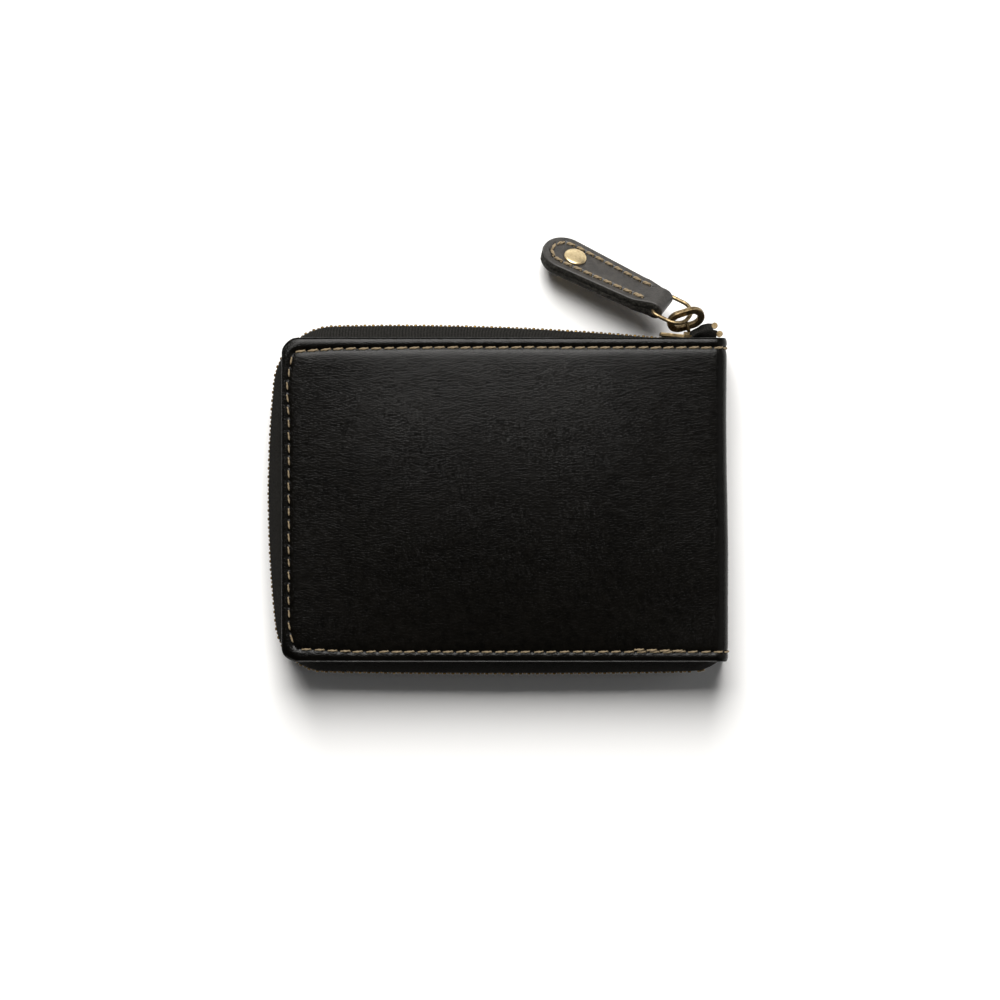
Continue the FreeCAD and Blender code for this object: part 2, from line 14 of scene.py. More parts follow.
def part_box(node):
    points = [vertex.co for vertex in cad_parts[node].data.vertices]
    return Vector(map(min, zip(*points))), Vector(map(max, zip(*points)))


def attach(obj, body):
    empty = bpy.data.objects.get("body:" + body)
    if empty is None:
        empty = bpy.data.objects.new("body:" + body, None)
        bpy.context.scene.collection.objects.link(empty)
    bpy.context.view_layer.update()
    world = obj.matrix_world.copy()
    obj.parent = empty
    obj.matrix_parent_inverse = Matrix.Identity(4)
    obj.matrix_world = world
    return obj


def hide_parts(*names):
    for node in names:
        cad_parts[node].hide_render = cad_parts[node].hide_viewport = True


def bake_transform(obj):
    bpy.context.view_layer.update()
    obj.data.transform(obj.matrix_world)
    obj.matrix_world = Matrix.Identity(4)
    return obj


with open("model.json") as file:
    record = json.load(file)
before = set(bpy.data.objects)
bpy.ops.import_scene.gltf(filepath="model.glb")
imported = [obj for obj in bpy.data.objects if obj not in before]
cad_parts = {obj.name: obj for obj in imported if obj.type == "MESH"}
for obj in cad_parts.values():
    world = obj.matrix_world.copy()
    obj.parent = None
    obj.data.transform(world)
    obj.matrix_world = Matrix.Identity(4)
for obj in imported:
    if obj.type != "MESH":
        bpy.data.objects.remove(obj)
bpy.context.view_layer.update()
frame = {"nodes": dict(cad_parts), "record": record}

MM = 0.001


def node_box(name):
    """Lowest and highest corner of a CAD node, in millimetres."""
    low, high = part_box(name)
    return low / MM, high / MM


COVER_LOW, COVER_HIGH = node_box("front_cover")
SPINE_HIGH = node_box("spine_cover")[1]
THICKNESS = COVER_HIGH.z
MIDDLE = THICKNESS / 2
LEFT = COVER_LOW.x
SPINE_X = SPINE_HIGH.x
HALF_DEPTH = COVER_HIGH.y
DEPTH = 2 * HALF_DEPTH
LEATHER = COVER_HIGH.z - COVER_LOW.z


# ---- mesh helpers
def add_object(name, data):
    piece = bpy.data.objects.new(name, data)
    bpy.context.scene.collection.objects.link(piece)
    return piece


def mesh_piece(name, vertices, faces, material):
    """A piece from millimetre vertices."""
    mesh = bpy.data.meshes.new(name)
    mesh.from_pydata([tuple(v) for v in (np.asarray(vertices, float) * MM)], [], faces)
    mesh.update()
    mesh.polygons.foreach_set("use_smooth", [True] * len(mesh.polygons))
    mesh.materials.append(material)
    return add_object(name, mesh)


def grid_faces(rows, columns, offset=0, flip=False):
    """Quads of a rows by columns sheet of vertices."""
    faces = []
    for r in range(rows - 1):
        for c in range(columns - 1):
            a = offset + r * columns + c
            quad = (a, a + 1, a + columns + 1, a + columns)
            faces.append(quad[::-1] if flip else quad)
    return faces


def tube_faces(rings, around, offset=0, flip=False):
    """Quads of a closed skin of rings, without its ends."""
    faces = []
    for r in range(rings - 1):
        for k in range(around):
            a = offset + r * around + k
            b = offset + r * around + (k + 1) % around
            quad = (a, b, b + around, a + around)
            faces.append(quad[::-1] if flip else quad)
    return faces


def end_caps(rings, around, offset=0, flip=False):
    """The two flat ends of such a skin."""
    first = tuple(range(offset, offset + around))
    last = tuple(range(offset + (rings - 1) * around, offset + rings * around))
    return [first, last[::-1]] if flip else [first[::-1], last]


def add_part(vertices, faces, made, quads):
    """Adds one more shape to the lists of a piece."""
    offset = len(vertices)
    vertices.extend(made)
    faces.extend(tuple(i + offset for i in quad) for quad in quads)


def join_rows(first, second, flip=False):
    """Quads between two rows of vertex numbers."""
    faces = []
    for i in range(len(first) - 1):
        quad = (first[i], first[i + 1], second[i + 1], second[i])
        faces.append(quad[::-1] if flip else quad)
    return faces


def two_faced(first, second, flip):
    """Vertices and faces of a sheet with two faces, each a grid of places."""
    rows, columns = first.shape[:2]
    vertices = np.vstack([first.reshape(-1, 3), second.reshape(-1, 3)])
    faces = grid_faces(rows, columns, 0, flip) + grid_faces(rows, columns, rows * columns, not flip)
    return vertices, faces


def unit(vectors):
    """The same directions with a length of one."""
    return vectors / np.maximum(np.linalg.norm(vectors, axis=-1, keepdims=True), 1e-9)


def left_of(direction):
    return np.array([-direction[1], direction[0]])


def lengths_along(path):
    return np.r_[0, np.cumsum(np.linalg.norm(np.diff(path, axis=0), axis=1))]


def smoothstep(low, high, value):
    """Zero below low, one above high, with a soft change between."""
    t = np.clip((value - low) / (high - low), 0.0, 1.0)
    return t * t * (3 - 2 * t)


def fractal(points, scale, octaves, seed):
    """Noise from -1 to 1 at points in millimetres; scale is its wavelength."""
    shift = Vector((seed * 17.3, seed * 5.1, seed * 9.7))
    return np.array([
        noise.fractal(Vector(p) / scale + shift, 1.0, 2.0, octaves) for p in points
    ])


def sheet_noise(x, y, level, scale, octaves, seed):
    """Noise over a sheet; sheets at different levels differ."""
    points = np.stack([x, y, np.full_like(x, level)], -1).reshape(-1, 3)
    return fractal(points, scale, octaves, seed).reshape(x.shape)


# ---- materials
def new_material(name, colour, roughness, metallic=0.0, specular=0.5):
    material = bpy.data.materials.new(name)
    material.use_nodes = True
    shader = material.node_tree.nodes["Principled BSDF"]
    shader.inputs["Base Color"].default_value = (*colour, 1)
    shader.inputs["Roughness"].default_value = roughness
    shader.inputs["Metallic"].default_value = metallic
    shader.inputs["Specular IOR Level"].default_value = specular
    return material, material.node_tree, shader


def node(tree, kind, **settings):
    made = tree.nodes.new(kind)
    for key, value in settings.items():
        setattr(made, key, value)
    return made


def object_space(tree, scale=(1, 1, 1)):
    """Object coordinates in millimetres."""
    place = node(tree, "ShaderNodeTexCoord")
    mapping = node(tree, "ShaderNodeMapping")
    mapping.inputs["Scale"].default_value = [s / MM for s in scale]
    tree.links.new(place.outputs["Object"], mapping.inputs["Vector"])
    return mapping.outputs["Vector"]


def noise_node(tree, vector, scale, detail, roughness):
    """Noise value; scale is in waves per unit of the vector."""
    made = node(tree, "ShaderNodeTexNoise")
    made.inputs["Scale"].default_value = scale
    made.inputs["Detail"].default_value = detail
    made.inputs["Roughness"].default_value = roughness
    tree.links.new(vector, made.inputs["Vector"])
    return made.outputs["Fac"]


def ramp(tree, value, stops):
    """Colour ramp; stops are (position, (r, g, b)) or (position, grey)."""
    made = node(tree, "ShaderNodeValToRGB")
    elements = made.color_ramp.elements
    while len(elements) < len(stops):
        elements.new(0.5)
    for element, (position, colour) in zip(elements, stops):
        element.position = position
        rgb = (colour,) * 3 if isinstance(colour, (int, float)) else colour
        element.color = (*rgb, 1)
    tree.links.new(value, made.inputs["Fac"])
    return made.outputs["Color"]


def drive(tree, value, stops, socket):
    """A shader's input follows a value through a ramp."""
    tree.links.new(ramp(tree, value, stops), socket)


def bump(tree, shader, layers):
    """Stacked bumps; layers are (height output, strength, distance in millimetres)."""
    last = None
    for height, strength, distance in layers:
        made = node(tree, "ShaderNodeBump")
        made.inputs["Strength"].default_value = strength
        made.inputs["Distance"].default_value = distance * MM
        tree.links.new(height, made.inputs["Height"])
        if last is not None:
            tree.links.new(last, made.inputs["Normal"])
        last = made.outputs["Normal"]
    tree.links.new(last, shader.inputs["Normal"])


def leather_material(name, dark, light, roughness, shine, grain):
    """Smooth leather: fine pores, faint creases and a soft mottling."""
    material, tree, shader = new_material(name, dark, roughness, specular=shine)
    place = object_space(tree)
    mottle = noise_node(tree, place, 0.045, 5.0, 0.6)
    fine = noise_node(tree, place, 0.55, 6.0, 0.65)
    mixed = node(tree, "ShaderNodeMath", operation="MULTIPLY_ADD")
    mixed.inputs[1].default_value = 0.4
    tree.links.new(mottle, mixed.inputs[0])
    tree.links.new(fine, mixed.inputs[2])
    drive(tree, mixed.outputs[0], [(0.50, dark), (0.90, light)], shader.inputs["Base Color"])
    rough = [(0.5, roughness - 0.02), (0.9, roughness + 0.03)]
    drive(tree, mixed.outputs[0], rough, shader.inputs["Roughness"])
    pores = node(tree, "ShaderNodeTexVoronoi", feature="DISTANCE_TO_EDGE")
    pores.inputs["Scale"].default_value = 1.5
    tree.links.new(place, pores.inputs["Vector"])
    pore_edge = ramp(tree, pores.outputs["Distance"], [(0.0, 0.0), (0.16, 1.0)])
    creases = noise_node(tree, object_space(tree, (0.17, 0.24, 0.24)), 1.0, 9.0, 0.72)
    bump(tree, shader, [
        (creases, 0.12 * grain, 0.40), (pore_edge, 0.4 * grain, 0.06), (fine, 0.42 * grain, 0.10),
    ])
    return material


def raw_edge_material(name):
    """Cut edge of leather: fibrous and almost black."""
    material, tree, shader = new_material(name, (0.012, 0.011, 0.010), 0.8, specular=0.2)
    place = object_space(tree)
    coarse = noise_node(tree, place, 1.4, 6.0, 0.75)
    fine = noise_node(tree, place, 6.0, 4.0, 0.7)
    fibres = [(0.38, (0.004, 0.004, 0.003)), (0.68, (0.060, 0.056, 0.048))]
    drive(tree, coarse, fibres, shader.inputs["Base Color"])
    bump(tree, shader, [(coarse, 0.9, 0.35), (fine, 0.6, 0.10)])
    return material


def brass_material(name, bright, dark, roughness):
    """Brass with patches of brown tarnish and fine scratches."""
    material, tree, shader = new_material(name, bright, roughness, metallic=1.0)
    place = object_space(tree)
    tarnish = noise_node(tree, place, 0.9, 5.0, 0.6)
    drive(tree, tarnish, [(0.35, dark), (0.62, bright)], shader.inputs["Base Color"])
    drive(tree, tarnish, [(0.3, roughness + 0.18), (0.7, roughness)], shader.inputs["Roughness"])
    scratches = noise_node(tree, object_space(tree, (1.0, 6.0, 6.0)), 1.6, 3.0, 0.5)
    bump(tree, shader, [(scratches, 0.15, 0.03)])
    return material


def thread_material(name):
    material, tree, shader = new_material(name, (0.22, 0.17, 0.10), 0.7, specular=0.3)
    place = object_space(tree)
    fibres = noise_node(tree, place, 5.0, 3.0, 0.6)
    plies = [(0.3, (0.15, 0.11, 0.062)), (0.7, (0.29, 0.225, 0.14))]
    drive(tree, fibres, plies, shader.inputs["Base Color"])
    bump(tree, shader, [(fibres, 0.5, 0.05)])
    return material


def weave_material(name, dark, light, pitch, roughness=0.8, shine=0.12):
    """Fine ribbed cloth; pitch sets its rib spacing."""
    material, tree, shader = new_material(name, dark, roughness, specular=shine)
    place = object_space(tree)
    ribs = node(tree, "ShaderNodeTexWave", wave_type="BANDS", bands_direction="DIAGONAL")
    ribs.inputs["Scale"].default_value = 0.32 / pitch
    ribs.inputs["Distortion"].default_value = 0.6
    ribs.inputs["Detail"].default_value = 1.0
    tree.links.new(place, ribs.inputs["Vector"])
    fuzz = noise_node(tree, place, 3.5, 4.0, 0.7)
    shade = node(tree, "ShaderNodeMath", operation="MULTIPLY_ADD")
    shade.inputs[1].default_value = 0.16
    tree.links.new(ribs.outputs["Fac"], shade.inputs[0])
    tree.links.new(fuzz, shade.inputs[2])
    drive(tree, shade.outputs[0], [(0.45, dark), (0.85, light)], shader.inputs["Base Color"])
    bump(tree, shader, [(ribs.outputs["Fac"], 0.25, 0.10), (fuzz, 0.6, 0.12)])
    return material


COVER_LEATHER = leather_material(
    "cover_leather", (0.0009, 0.0008, 0.0006), (0.0028, 0.0024, 0.0018), 0.24, 0.14, 0.85)
TAB_LEATHER = leather_material(
    "tab_leather", (0.012, 0.0112, 0.0102), (0.036, 0.032, 0.028), 0.44, 0.45, 1)
POCKET_LEATHER = leather_material(
    "pocket_leather", (0.010, 0.009, 0.008), (0.022, 0.020, 0.018), 0.5, 0.4, 1)
RAW_EDGE = raw_edge_material("raw_edge")
TAPE_CLOTH = weave_material("zip_tape", (0.006, 0.0058, 0.0054), (0.030, 0.0288, 0.0265), 0.42, 0.9, 0.03)
LINING = weave_material("lining_twill", (0.010, 0.010, 0.010), (0.026, 0.025, 0.024), 0.7)
THREAD = thread_material("thread")
ANTIQUE_BRASS = brass_material("antique_brass", (0.34, 0.255, 0.14), (0.10, 0.07, 0.036), 0.36)
# The slider's brass is the antique brass darkened throughout: painted shade, so that its flat top reads
# dim.
SHADED_SLIDER_BRASS = brass_material("slider_brass_painted_shade", (0.20, 0.148, 0.078), (0.06, 0.042, 0.021), 0.40)
TOOTH_BRASS = brass_material("tooth_brass", (0.23, 0.145, 0.048), (0.08, 0.05, 0.016), 0.42)
RIVET_BRASS = brass_material("rivet_brass", (0.73, 0.60, 0.36), (0.54, 0.42, 0.24), 0.30)


# ---- the leather wrap
FOLD_RADIUS = 3.5
FLAT = SPINE_X - FOLD_RADIUS - LEFT  # length of the flat part from the free edge
ARC = FOLD_RADIUS * math.pi / 2
WRAP = FLAT + ARC + THICKNESS - FOLD_RADIUS - MIDDLE
CORNER = 3.8
EDGE_REACH = 0.12  # how far in the rolled edge reaches
GRID_STEP = 0.36
MARGIN = 2.2  # strip outside the stitches
MARGIN_STRETCH = 0.45  # how far the free and the top margin spread past the board
SIDES = {"front": 1.0, "back": -1.0}

# Stitch lines, as places along an edge and insets from it.
TOP_STITCHES = ((2.9, 3.4), (13.4, 2.7), (40.0, 2.3), (WRAP, 2.3))
LEFT_STITCHES = ((4.1, 2.5), (8.8, 1.5), (13.5, 1.2), (22.0, 1.6), (78.0, 1.6), (82.6, 2.7))
BOTTOM_STITCHES = ((4.6, 3.5), (18.0, 2.8), (WRAP, 2.7))
STITCH_PITCH = 3.47
STITCH_LENGTHS = (2.75, 2.25, 2.75)
THREAD_RADII = (0.22, 0.16, 0.18)
FLUSH = 0.02  # how far the back cover's stitches stay inside its face


def wrap_frame(u, v, half):
    """Place and outward direction on the leather's face: u from the free edge, v across."""
    u = np.asarray(u, float)
    v = np.asarray(v, float)
    angle = np.clip((u - FLAT) / FOLD_RADIUS, 0, math.pi / 2)
    flat_x = LEFT + np.minimum(u, FLAT)
    down = np.maximum(u - FLAT - ARC, 0)
    x = flat_x + FOLD_RADIUS * np.sin(angle)
    z = THICKNESS - FOLD_RADIUS * (1 - np.cos(angle)) - down
    normal = np.stack([np.sin(angle), np.zeros_like(v), np.cos(angle)], -1)
    x = x - MARGIN_STRETCH * (1 - smoothstep(0, MARGIN, u))
    y = v + MARGIN_STRETCH * (1 - smoothstep(0, MARGIN, HALF_DEPTH - v))
    place = np.stack([x, y, z], -1)
    if half == "back":
        place[..., 2] = THICKNESS - place[..., 2]
        normal[..., 2] *= -1
    return place, normal


def along(points, where):
    xs, ys = zip(*points)
    return np.interp(where, xs, ys)


def stitch_points():
    """Stitch ends on the wrap as runs of (u, v), at equal steps: top, left and bottom rows."""
    top = [(u, HALF_DEPTH - inset) for u, inset in TOP_STITCHES]
    left = [(inset, HALF_DEPTH - down) for down, inset in LEFT_STITCHES]
    bottom = [(u, inset - HALF_DEPTH) for u, inset in BOTTOM_STITCHES]
    return [resample(line, STITCH_PITCH) for line in (top, left, bottom)]


def resample(points, step):
    """Points a step apart along a polyline, the step stretched to fit a whole number."""
    points = np.array(points, float)
    lengths = lengths_along(points)
    count = max(2, round(lengths[-1] / step) + 1)
    where = np.linspace(0, lengths[-1], count)
    return np.stack([np.interp(where, lengths, column) for column in points.T], -1)


GROOVES = (0.46, 0.40, 0.22)  # depth of the channel that each row of stitches pulls in
EDGE_DROP = 0.46  # how far the arched margin falls towards the cut edge
GROOVE_FADE = 1.0
CORNER_BEND = 5.0  # radius at which the margin turns the corner
BULGE = 1.5  # how far the filled wallet's upper face crowns
CROWN_STARTS = 34.0  # from the free edge, where the crown is full
CROWN_ENDS = 36.0  # from the fold, where it starts to fall
WAIST = 0.50  # how far the spine dips, with the dip's middle and reach
WAIST_AT = 25.0
WAIST_REACH = 26.0
SWELLS = ((0.07, 22.0, 2, 1.0), (0.018, 4.5, 3, 2.0))  # height, wavelength, octaves, seed
COVER_LEVEL = 3.0
HOLE_DEPTH = 0.32
HOLE_RADIUS = 0.42


def stitch_field(u, v):
    """Distance in from the cut edge, and the inset and groove depth of the stitches near it."""
    from_top = HALF_DEPTH - v
    across = np.minimum(from_top, HALF_DEPTH + v)
    upper = v > 0
    inset = np.where(upper, along(TOP_STITCHES, u), along(BOTTOM_STITCHES, u))
    groove = np.where(upper, GROOVES[0], GROOVES[2])
    leftness = smoothstep(-CORNER_BEND / 2, CORNER_BEND / 2, across - u)
    inset = inset + (along(LEFT_STITCHES, from_top) - inset) * leftness
    groove = groove + (GROOVES[1] - groove) * leftness
    near_u = CORNER_BEND - u
    near_v = CORNER_BEND - across
    rounded = CORNER_BEND - np.hypot(near_u, near_v)
    distance = np.where((near_u > 0) & (near_v > 0), rounded, np.minimum(u, across))
    return distance, inset, groove


def wrap_height(u, v, half):
    """How far the leather's face stands off its nominal surface, needle holes left out."""
    distance, inset, groove = stitch_field(u, v)
    arch = (distance - inset / 2) / (inset / 2)
    outside = -np.where(arch < 0, EDGE_DROP * np.minimum(arch ** 2, 1), groove * arch ** 2)
    inside = -groove * np.exp(-np.maximum(distance - inset, 0) / GROOVE_FADE)
    height = np.where(distance < inset, outside, inside)
    if half == "front":
        crown = (1 - (v / HALF_DEPTH) ** 2) * smoothstep(0, CROWN_STARTS, u)
        crown = crown * (1 - smoothstep(FLAT - CROWN_ENDS, FLAT + 1, u))
        height += BULGE * crown
    waist = np.exp(-(((v - WAIST_AT) / WAIST_REACH) ** 2))
    height -= WAIST * waist * smoothstep(FLAT - 2, FLAT + ARC, u)
    fade = 1 - smoothstep(WRAP - 6, WRAP - 1, u)
    level = COVER_LEVEL * SIDES[half]
    height += sum(swell * sheet_noise(u, v, level, *kind) for swell, *kind in SWELLS) * fade
    return height if half == "front" else np.minimum(height, 0)  # the back cover lies on the table


def needle_holes(u, v, runs):
    depth = np.zeros_like(u)
    for run in runs:
        for hole_u, hole_v in run:
            depth -= HOLE_DEPTH * np.exp(-((u - hole_u) ** 2 + (v - hole_v) ** 2) / HOLE_RADIUS ** 2)
    return depth


def rounded_corner(du, dv):
    """Maps a square corner cell to a quarter disc; du and dv run outward from the arc's centre."""
    reach = np.maximum(du, dv)
    safe = np.maximum(reach, 1e-9)
    share = np.where(du >= dv, dv / safe, 2 - du / safe)
    angle = share * math.pi / 4
    inside = (du > 0) & (dv > 0)
    return np.where(inside, reach * np.cos(angle), du), np.where(inside, reach * np.sin(angle), dv)


def wrap_grid():
    """(u, v) of the leather's top face, inside its rounded edge, with rounded free corners."""
    us = np.linspace(EDGE_REACH, WRAP, round(WRAP / GRID_STEP))
    vs = np.linspace(-HALF_DEPTH + EDGE_REACH, HALF_DEPTH - EDGE_REACH, round(DEPTH / GRID_STEP))
    u, v = np.meshgrid(us, vs)
    radius = CORNER - EDGE_REACH
    du = EDGE_REACH + radius - u
    for sign in (1, -1):
        dv = sign * v - (HALF_DEPTH - EDGE_REACH - radius)
        new_u, new_v = rounded_corner(du, dv)
        inside = (du > 0) & (dv > 0)
        u = np.where(inside, EDGE_REACH + radius - new_u, u)
        v = np.where(inside, sign * (new_v + HALF_DEPTH - EDGE_REACH - radius), v)
    return u, v


def boundary_walk(rows, columns):
    """Grid numbers round the free sides, from the spine end of the top to that of the bottom."""
    top = [(rows - 1) * columns + c for c in range(columns - 1, -1, -1)]
    left = [r * columns for r in range(rows - 2, -1, -1)]
    bottom = list(range(1, columns))
    return top + left + bottom


EDGE_STEPS = 7
UNDERSIDE = 3.0


def leather_wrap(half):
    """One cover with its half of the spine, folded in one sheet."""
    u, v = wrap_grid()
    rows, columns = u.shape
    height = wrap_height(u, v, half) + needle_holes(u, v, stitch_points())
    place, normal = wrap_frame(u, v, half)
    top = (place + normal * height[..., None]).reshape(-1, 3)
    flip = half == "back"
    faces = grid_faces(rows, columns, 0, flip)
    walk = boundary_walk(rows, columns)
    ring_u = u.ravel()[walk]
    ring_v = v.ravel()[walk]
    outward = outline_direction(ring_u, ring_v)
    rim_height = height.ravel()[walk]
    vertices = [top]
    previous = list(walk)
    count = len(top)
    profile = []
    for step in range(1, EDGE_STEPS + 1):
        angle = math.pi * step / EDGE_STEPS
        drop = LEATHER / 2 * (1 - math.cos(angle))
        profile.append((EDGE_REACH * math.sin(angle), drop, math.cos(angle / 2) ** 2))
    profile.append((-UNDERSIDE, LEATHER, 0.0))
    for reach, drop, follow in profile:
        step_u, step_v = outward.T * reach
        row_place, row_normal = wrap_frame(ring_u + step_u, ring_v + step_v, half)
        vertices.append(row_place + row_normal * (rim_height * follow - drop)[:, None])
        current = list(range(count, count + len(walk)))
        faces += join_rows(previous, current, flip)
        previous = current
        count += len(walk)
    return mesh_piece(half + "_leather", np.vstack(vertices), faces, COVER_LEATHER)


def outline_direction(u, v):
    """Unit direction out of the rounded outline at its edge points."""
    centre_u = np.maximum(u, CORNER)
    centre_v = np.clip(v, -HALF_DEPTH + CORNER, HALF_DEPTH - CORNER)
    direction = np.stack([u - centre_u, v - centre_v], -1)
    on_left = (np.abs(v) <= HALF_DEPTH - CORNER + 1e-6) & (u < EDGE_REACH + 1e-6)
    direction[on_left] = (-1, 0)
    return unit(direction)


BLEND_DEPTH = 7.0  # how far down the spine blend_cover's spine point lies
BLEND_REACH = 7.2  # how far along the cover its cover point lies


def blend_cover(piece, half):
    """Bakes the piece's placement into its mesh, for either half."""
    spine_point = Vector((SPINE_X, 0, THICKNESS - BLEND_DEPTH)) * MM
    cover_point = Vector((SPINE_X - BLEND_REACH, 0, THICKNESS)) * MM
    if half == "front":
        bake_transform(piece)
    else:
        spine_point.z = BLEND_DEPTH * MM
        cover_point.z = 0
        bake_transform(piece)


# ---- stitches
THREAD_AROUND = 6
THREAD_TWIST = 2.2  # turn of the two plies, in radians per millimetre
PLY_OFFSET = 0.62  # shares of the thread's radius
PLY_END = 0.55
STITCH_POINTS = 9
STITCH_RISE = 0.06  # a stitch's middle over the leather, and how far its ends dip
STITCH_DIP = 0.50
STITCH_SLANT = (0.10, 0.03)  # mean and spread
STITCH_SPREAD = (0.95, 1.04)  # shortest and longest, as shares of the row's stitch length
STITCH_SLIP = 0.05  # spread along the row
STITCH_SWAY = 0.03  # spread across it
STITCH_SEEDS = {"front": 11, "back": 12}
TACK_STITCHES = 4  # sewn twice near the spine
TACK_FROM = 22.5  # from the fold
TACK_INSET = 3.35
TACK_DRIFT = (0.12, 0.10)  # towards the edge, from stitch to stitch and along each
TACK_LIFT = 0.16


def twisted_thread(path, normals, radius, twist=THREAD_TWIST):
    """Two plies wound round a path; returns vertices and faces."""
    count = len(path)
    tangents = unit(np.gradient(path, axis=0))
    sides = unit(np.cross(tangents, normals))
    ups = np.cross(sides, tangents)
    lengths = lengths_along(path)
    vertices, faces = [], []
    for ply in range(2):
        turn = lengths * twist + ply * math.pi
        around_path = np.cos(turn)[:, None] * sides + np.sin(turn)[:, None] * ups
        centre = path + radius * PLY_OFFSET * around_path
        start = len(vertices)
        for i in range(count):
            size = radius * (PLY_END if i in (0, count - 1) else 1.0)
            for k in range(THREAD_AROUND):
                a = 2 * math.pi * k / THREAD_AROUND
                vertices.append(centre[i] + size * (math.cos(a) * sides[i] + math.sin(a) * ups[i]))
        faces += tube_faces(count, THREAD_AROUND, start) + end_caps(count, THREAD_AROUND, start)
    return vertices, faces


def stitch_line(first, second, length, slant, slip=0.0, sway=0.0):
    """Points along one stitch between two holes, and their share of it from -1 to 1."""
    span = second - first
    reach = np.linalg.norm(span)
    direction = span / reach
    margin = (reach - length) / 2
    share = np.linspace(-1, 1, STITCH_POINTS)
    steps = np.linspace(margin, reach - margin, STITCH_POINTS) + slip
    return share, first + np.outer(steps, direction) + np.outer(share * slant + sway, left_of(direction))


def cover_stitching(half):
    """All stitches of one cover, sunk at their ends into the needle holes."""
    rng = np.random.default_rng(STITCH_SEEDS[half])
    vertices, faces = [], []
    for run, length, radius in zip(stitch_points(), STITCH_LENGTHS, THREAD_RADII):
        for first, second in zip(run[:-1], run[1:]):
            add_cover_stitch(vertices, faces, first, second, rng, half, length, radius)
    if half == "front":
        back_tack(vertices, faces, rng)
    return mesh_piece(half + "_thread", vertices, faces, THREAD)


def add_cover_stitch(vertices, faces, first, second, rng, half, stitch, radius, lift=0.0):
    slant = rng.normal(*STITCH_SLANT)
    length = stitch * rng.uniform(*STITCH_SPREAD)
    slip = rng.normal(0, STITCH_SLIP)
    sway = rng.normal(0, STITCH_SWAY)
    share, flat = stitch_line(first, second, length, slant, slip, sway)
    place, normal = wrap_frame(*flat.T, half)
    rise = wrap_height(*flat.T, half) + lift + STITCH_RISE - STITCH_DIP * np.abs(share) ** 4
    if half == "back":
        rise = np.minimum(rise, -2 * radius - FLUSH)
    path = place + normal * (rise + radius)[:, None]
    add_part(vertices, faces, *twisted_thread(path, normal, radius))


def back_tack(vertices, faces, rng):
    """Second row of stitches over the first, near the spine."""
    start = FLAT - TACK_FROM
    step_drift, own_drift = TACK_DRIFT
    length, radius = STITCH_LENGTHS[0], THREAD_RADII[0]
    for index in range(TACK_STITCHES):
        first = np.array([start + index * STITCH_PITCH, TACK_INSET - HALF_DEPTH - step_drift * index])
        second = first + np.array([STITCH_PITCH, -own_drift])
        add_cover_stitch(vertices, faces, first, second, rng, "front", length, radius, TACK_LIFT)


# ---- the chain's line
TOP_RADIUS = 760.0
TOP_APEX = (-30.0, 46.9)
LEFT_RADIUS = 320.0
LEFT_APEX = (-63.9, 1.5)
BOTTOM_RADIUS = 2400.0
BOTTOM_APEX = (0.0, -46.3)
UPPER_CORNER = 16.0
LOWER_CORNER = 13.0
TAIL_START_X = 50.0
TAIL_RADIUS = 12.0
TAIL_ANGLE = math.radians(38)
TAPE_END_X = 57.0
CHAIN_STEP = 0.7


def tangent_centre(centre_a, radius_a, centre_b, radius_b, near):
    """Centre of a circle that lies inside two circles, at the crossing nearest a point."""
    between = centre_b - centre_a
    distance = np.linalg.norm(between)
    along_line = (radius_a ** 2 - radius_b ** 2 + distance ** 2) / (2 * distance)
    across = math.sqrt(radius_a ** 2 - along_line ** 2)
    direction = between / distance
    side = left_of(direction)
    choices = [centre_a + direction * along_line + side * sign * across for sign in (1, -1)]
    return min(choices, key=lambda point: np.linalg.norm(point - near))


def arc_points(centre, radius, start, finish, count):
    """Points on the short arc between two directions about a centre."""
    a = math.atan2(start[1] - centre[1], start[0] - centre[0])
    b = math.atan2(finish[1] - centre[1], finish[0] - centre[0])
    turn = (b - a + math.pi) % (2 * math.pi) - math.pi
    angles = a + turn * np.linspace(0, 1, count)
    return np.stack([centre[0] + radius * np.cos(angles), centre[1] + radius * np.sin(angles)], -1)


def chain_path():
    """The outer line of the closed zip, from beside the slider round to the bottom stop."""
    top = np.array(TOP_APEX) - (0, TOP_RADIUS)
    left = np.array(LEFT_APEX) + (LEFT_RADIUS, 0)
    bottom = np.array(BOTTOM_APEX) + (0, BOTTOM_RADIUS)
    upper = tangent_centre(top, TOP_RADIUS - UPPER_CORNER, left, LEFT_RADIUS - UPPER_CORNER,
                           (LEFT, HALF_DEPTH))
    lower = tangent_centre(left, LEFT_RADIUS - LOWER_CORNER, bottom, BOTTOM_RADIUS - LOWER_CORNER,
                           (LEFT, -HALF_DEPTH))
    start = np.array((TAPE_END_X, top[1] + math.sqrt(TOP_RADIUS ** 2 - (TAPE_END_X - top[0]) ** 2)))
    tail = np.array((TAIL_START_X, bottom[1] - math.sqrt(BOTTOM_RADIUS ** 2 - TAIL_START_X ** 2)))
    tail_centre = tail + (0, TAIL_RADIUS)
    tail_end = tail_centre + TAIL_RADIUS * np.array((math.sin(TAIL_ANGLE), -math.cos(TAIL_ANGLE)))
    top_left = top + unit(upper - top) * TOP_RADIUS
    left_top = left + unit(upper - left) * LEFT_RADIUS
    left_low = left + unit(lower - left) * LEFT_RADIUS
    low_left = bottom + unit(lower - bottom) * BOTTOM_RADIUS
    runs = [
        arc_points(top, TOP_RADIUS, start, top_left, 60),
        arc_points(upper, UPPER_CORNER, top_left, left_top, 30)[1:],
        arc_points(left, LEFT_RADIUS, left_top, left_low, 40)[1:],
        arc_points(lower, LOWER_CORNER, left_low, low_left, 30)[1:],
        arc_points(bottom, BOTTOM_RADIUS, low_left, tail, 60)[1:],
        arc_points(tail_centre, TAIL_RADIUS, tail, tail_end, 16)[1:],
    ]
    return resample(np.vstack(runs), CHAIN_STEP)


def outward_normals(path):
    tangent = unit(np.gradient(path, axis=0))
    return np.stack([tangent[:, 1], -tangent[:, 0]], -1)


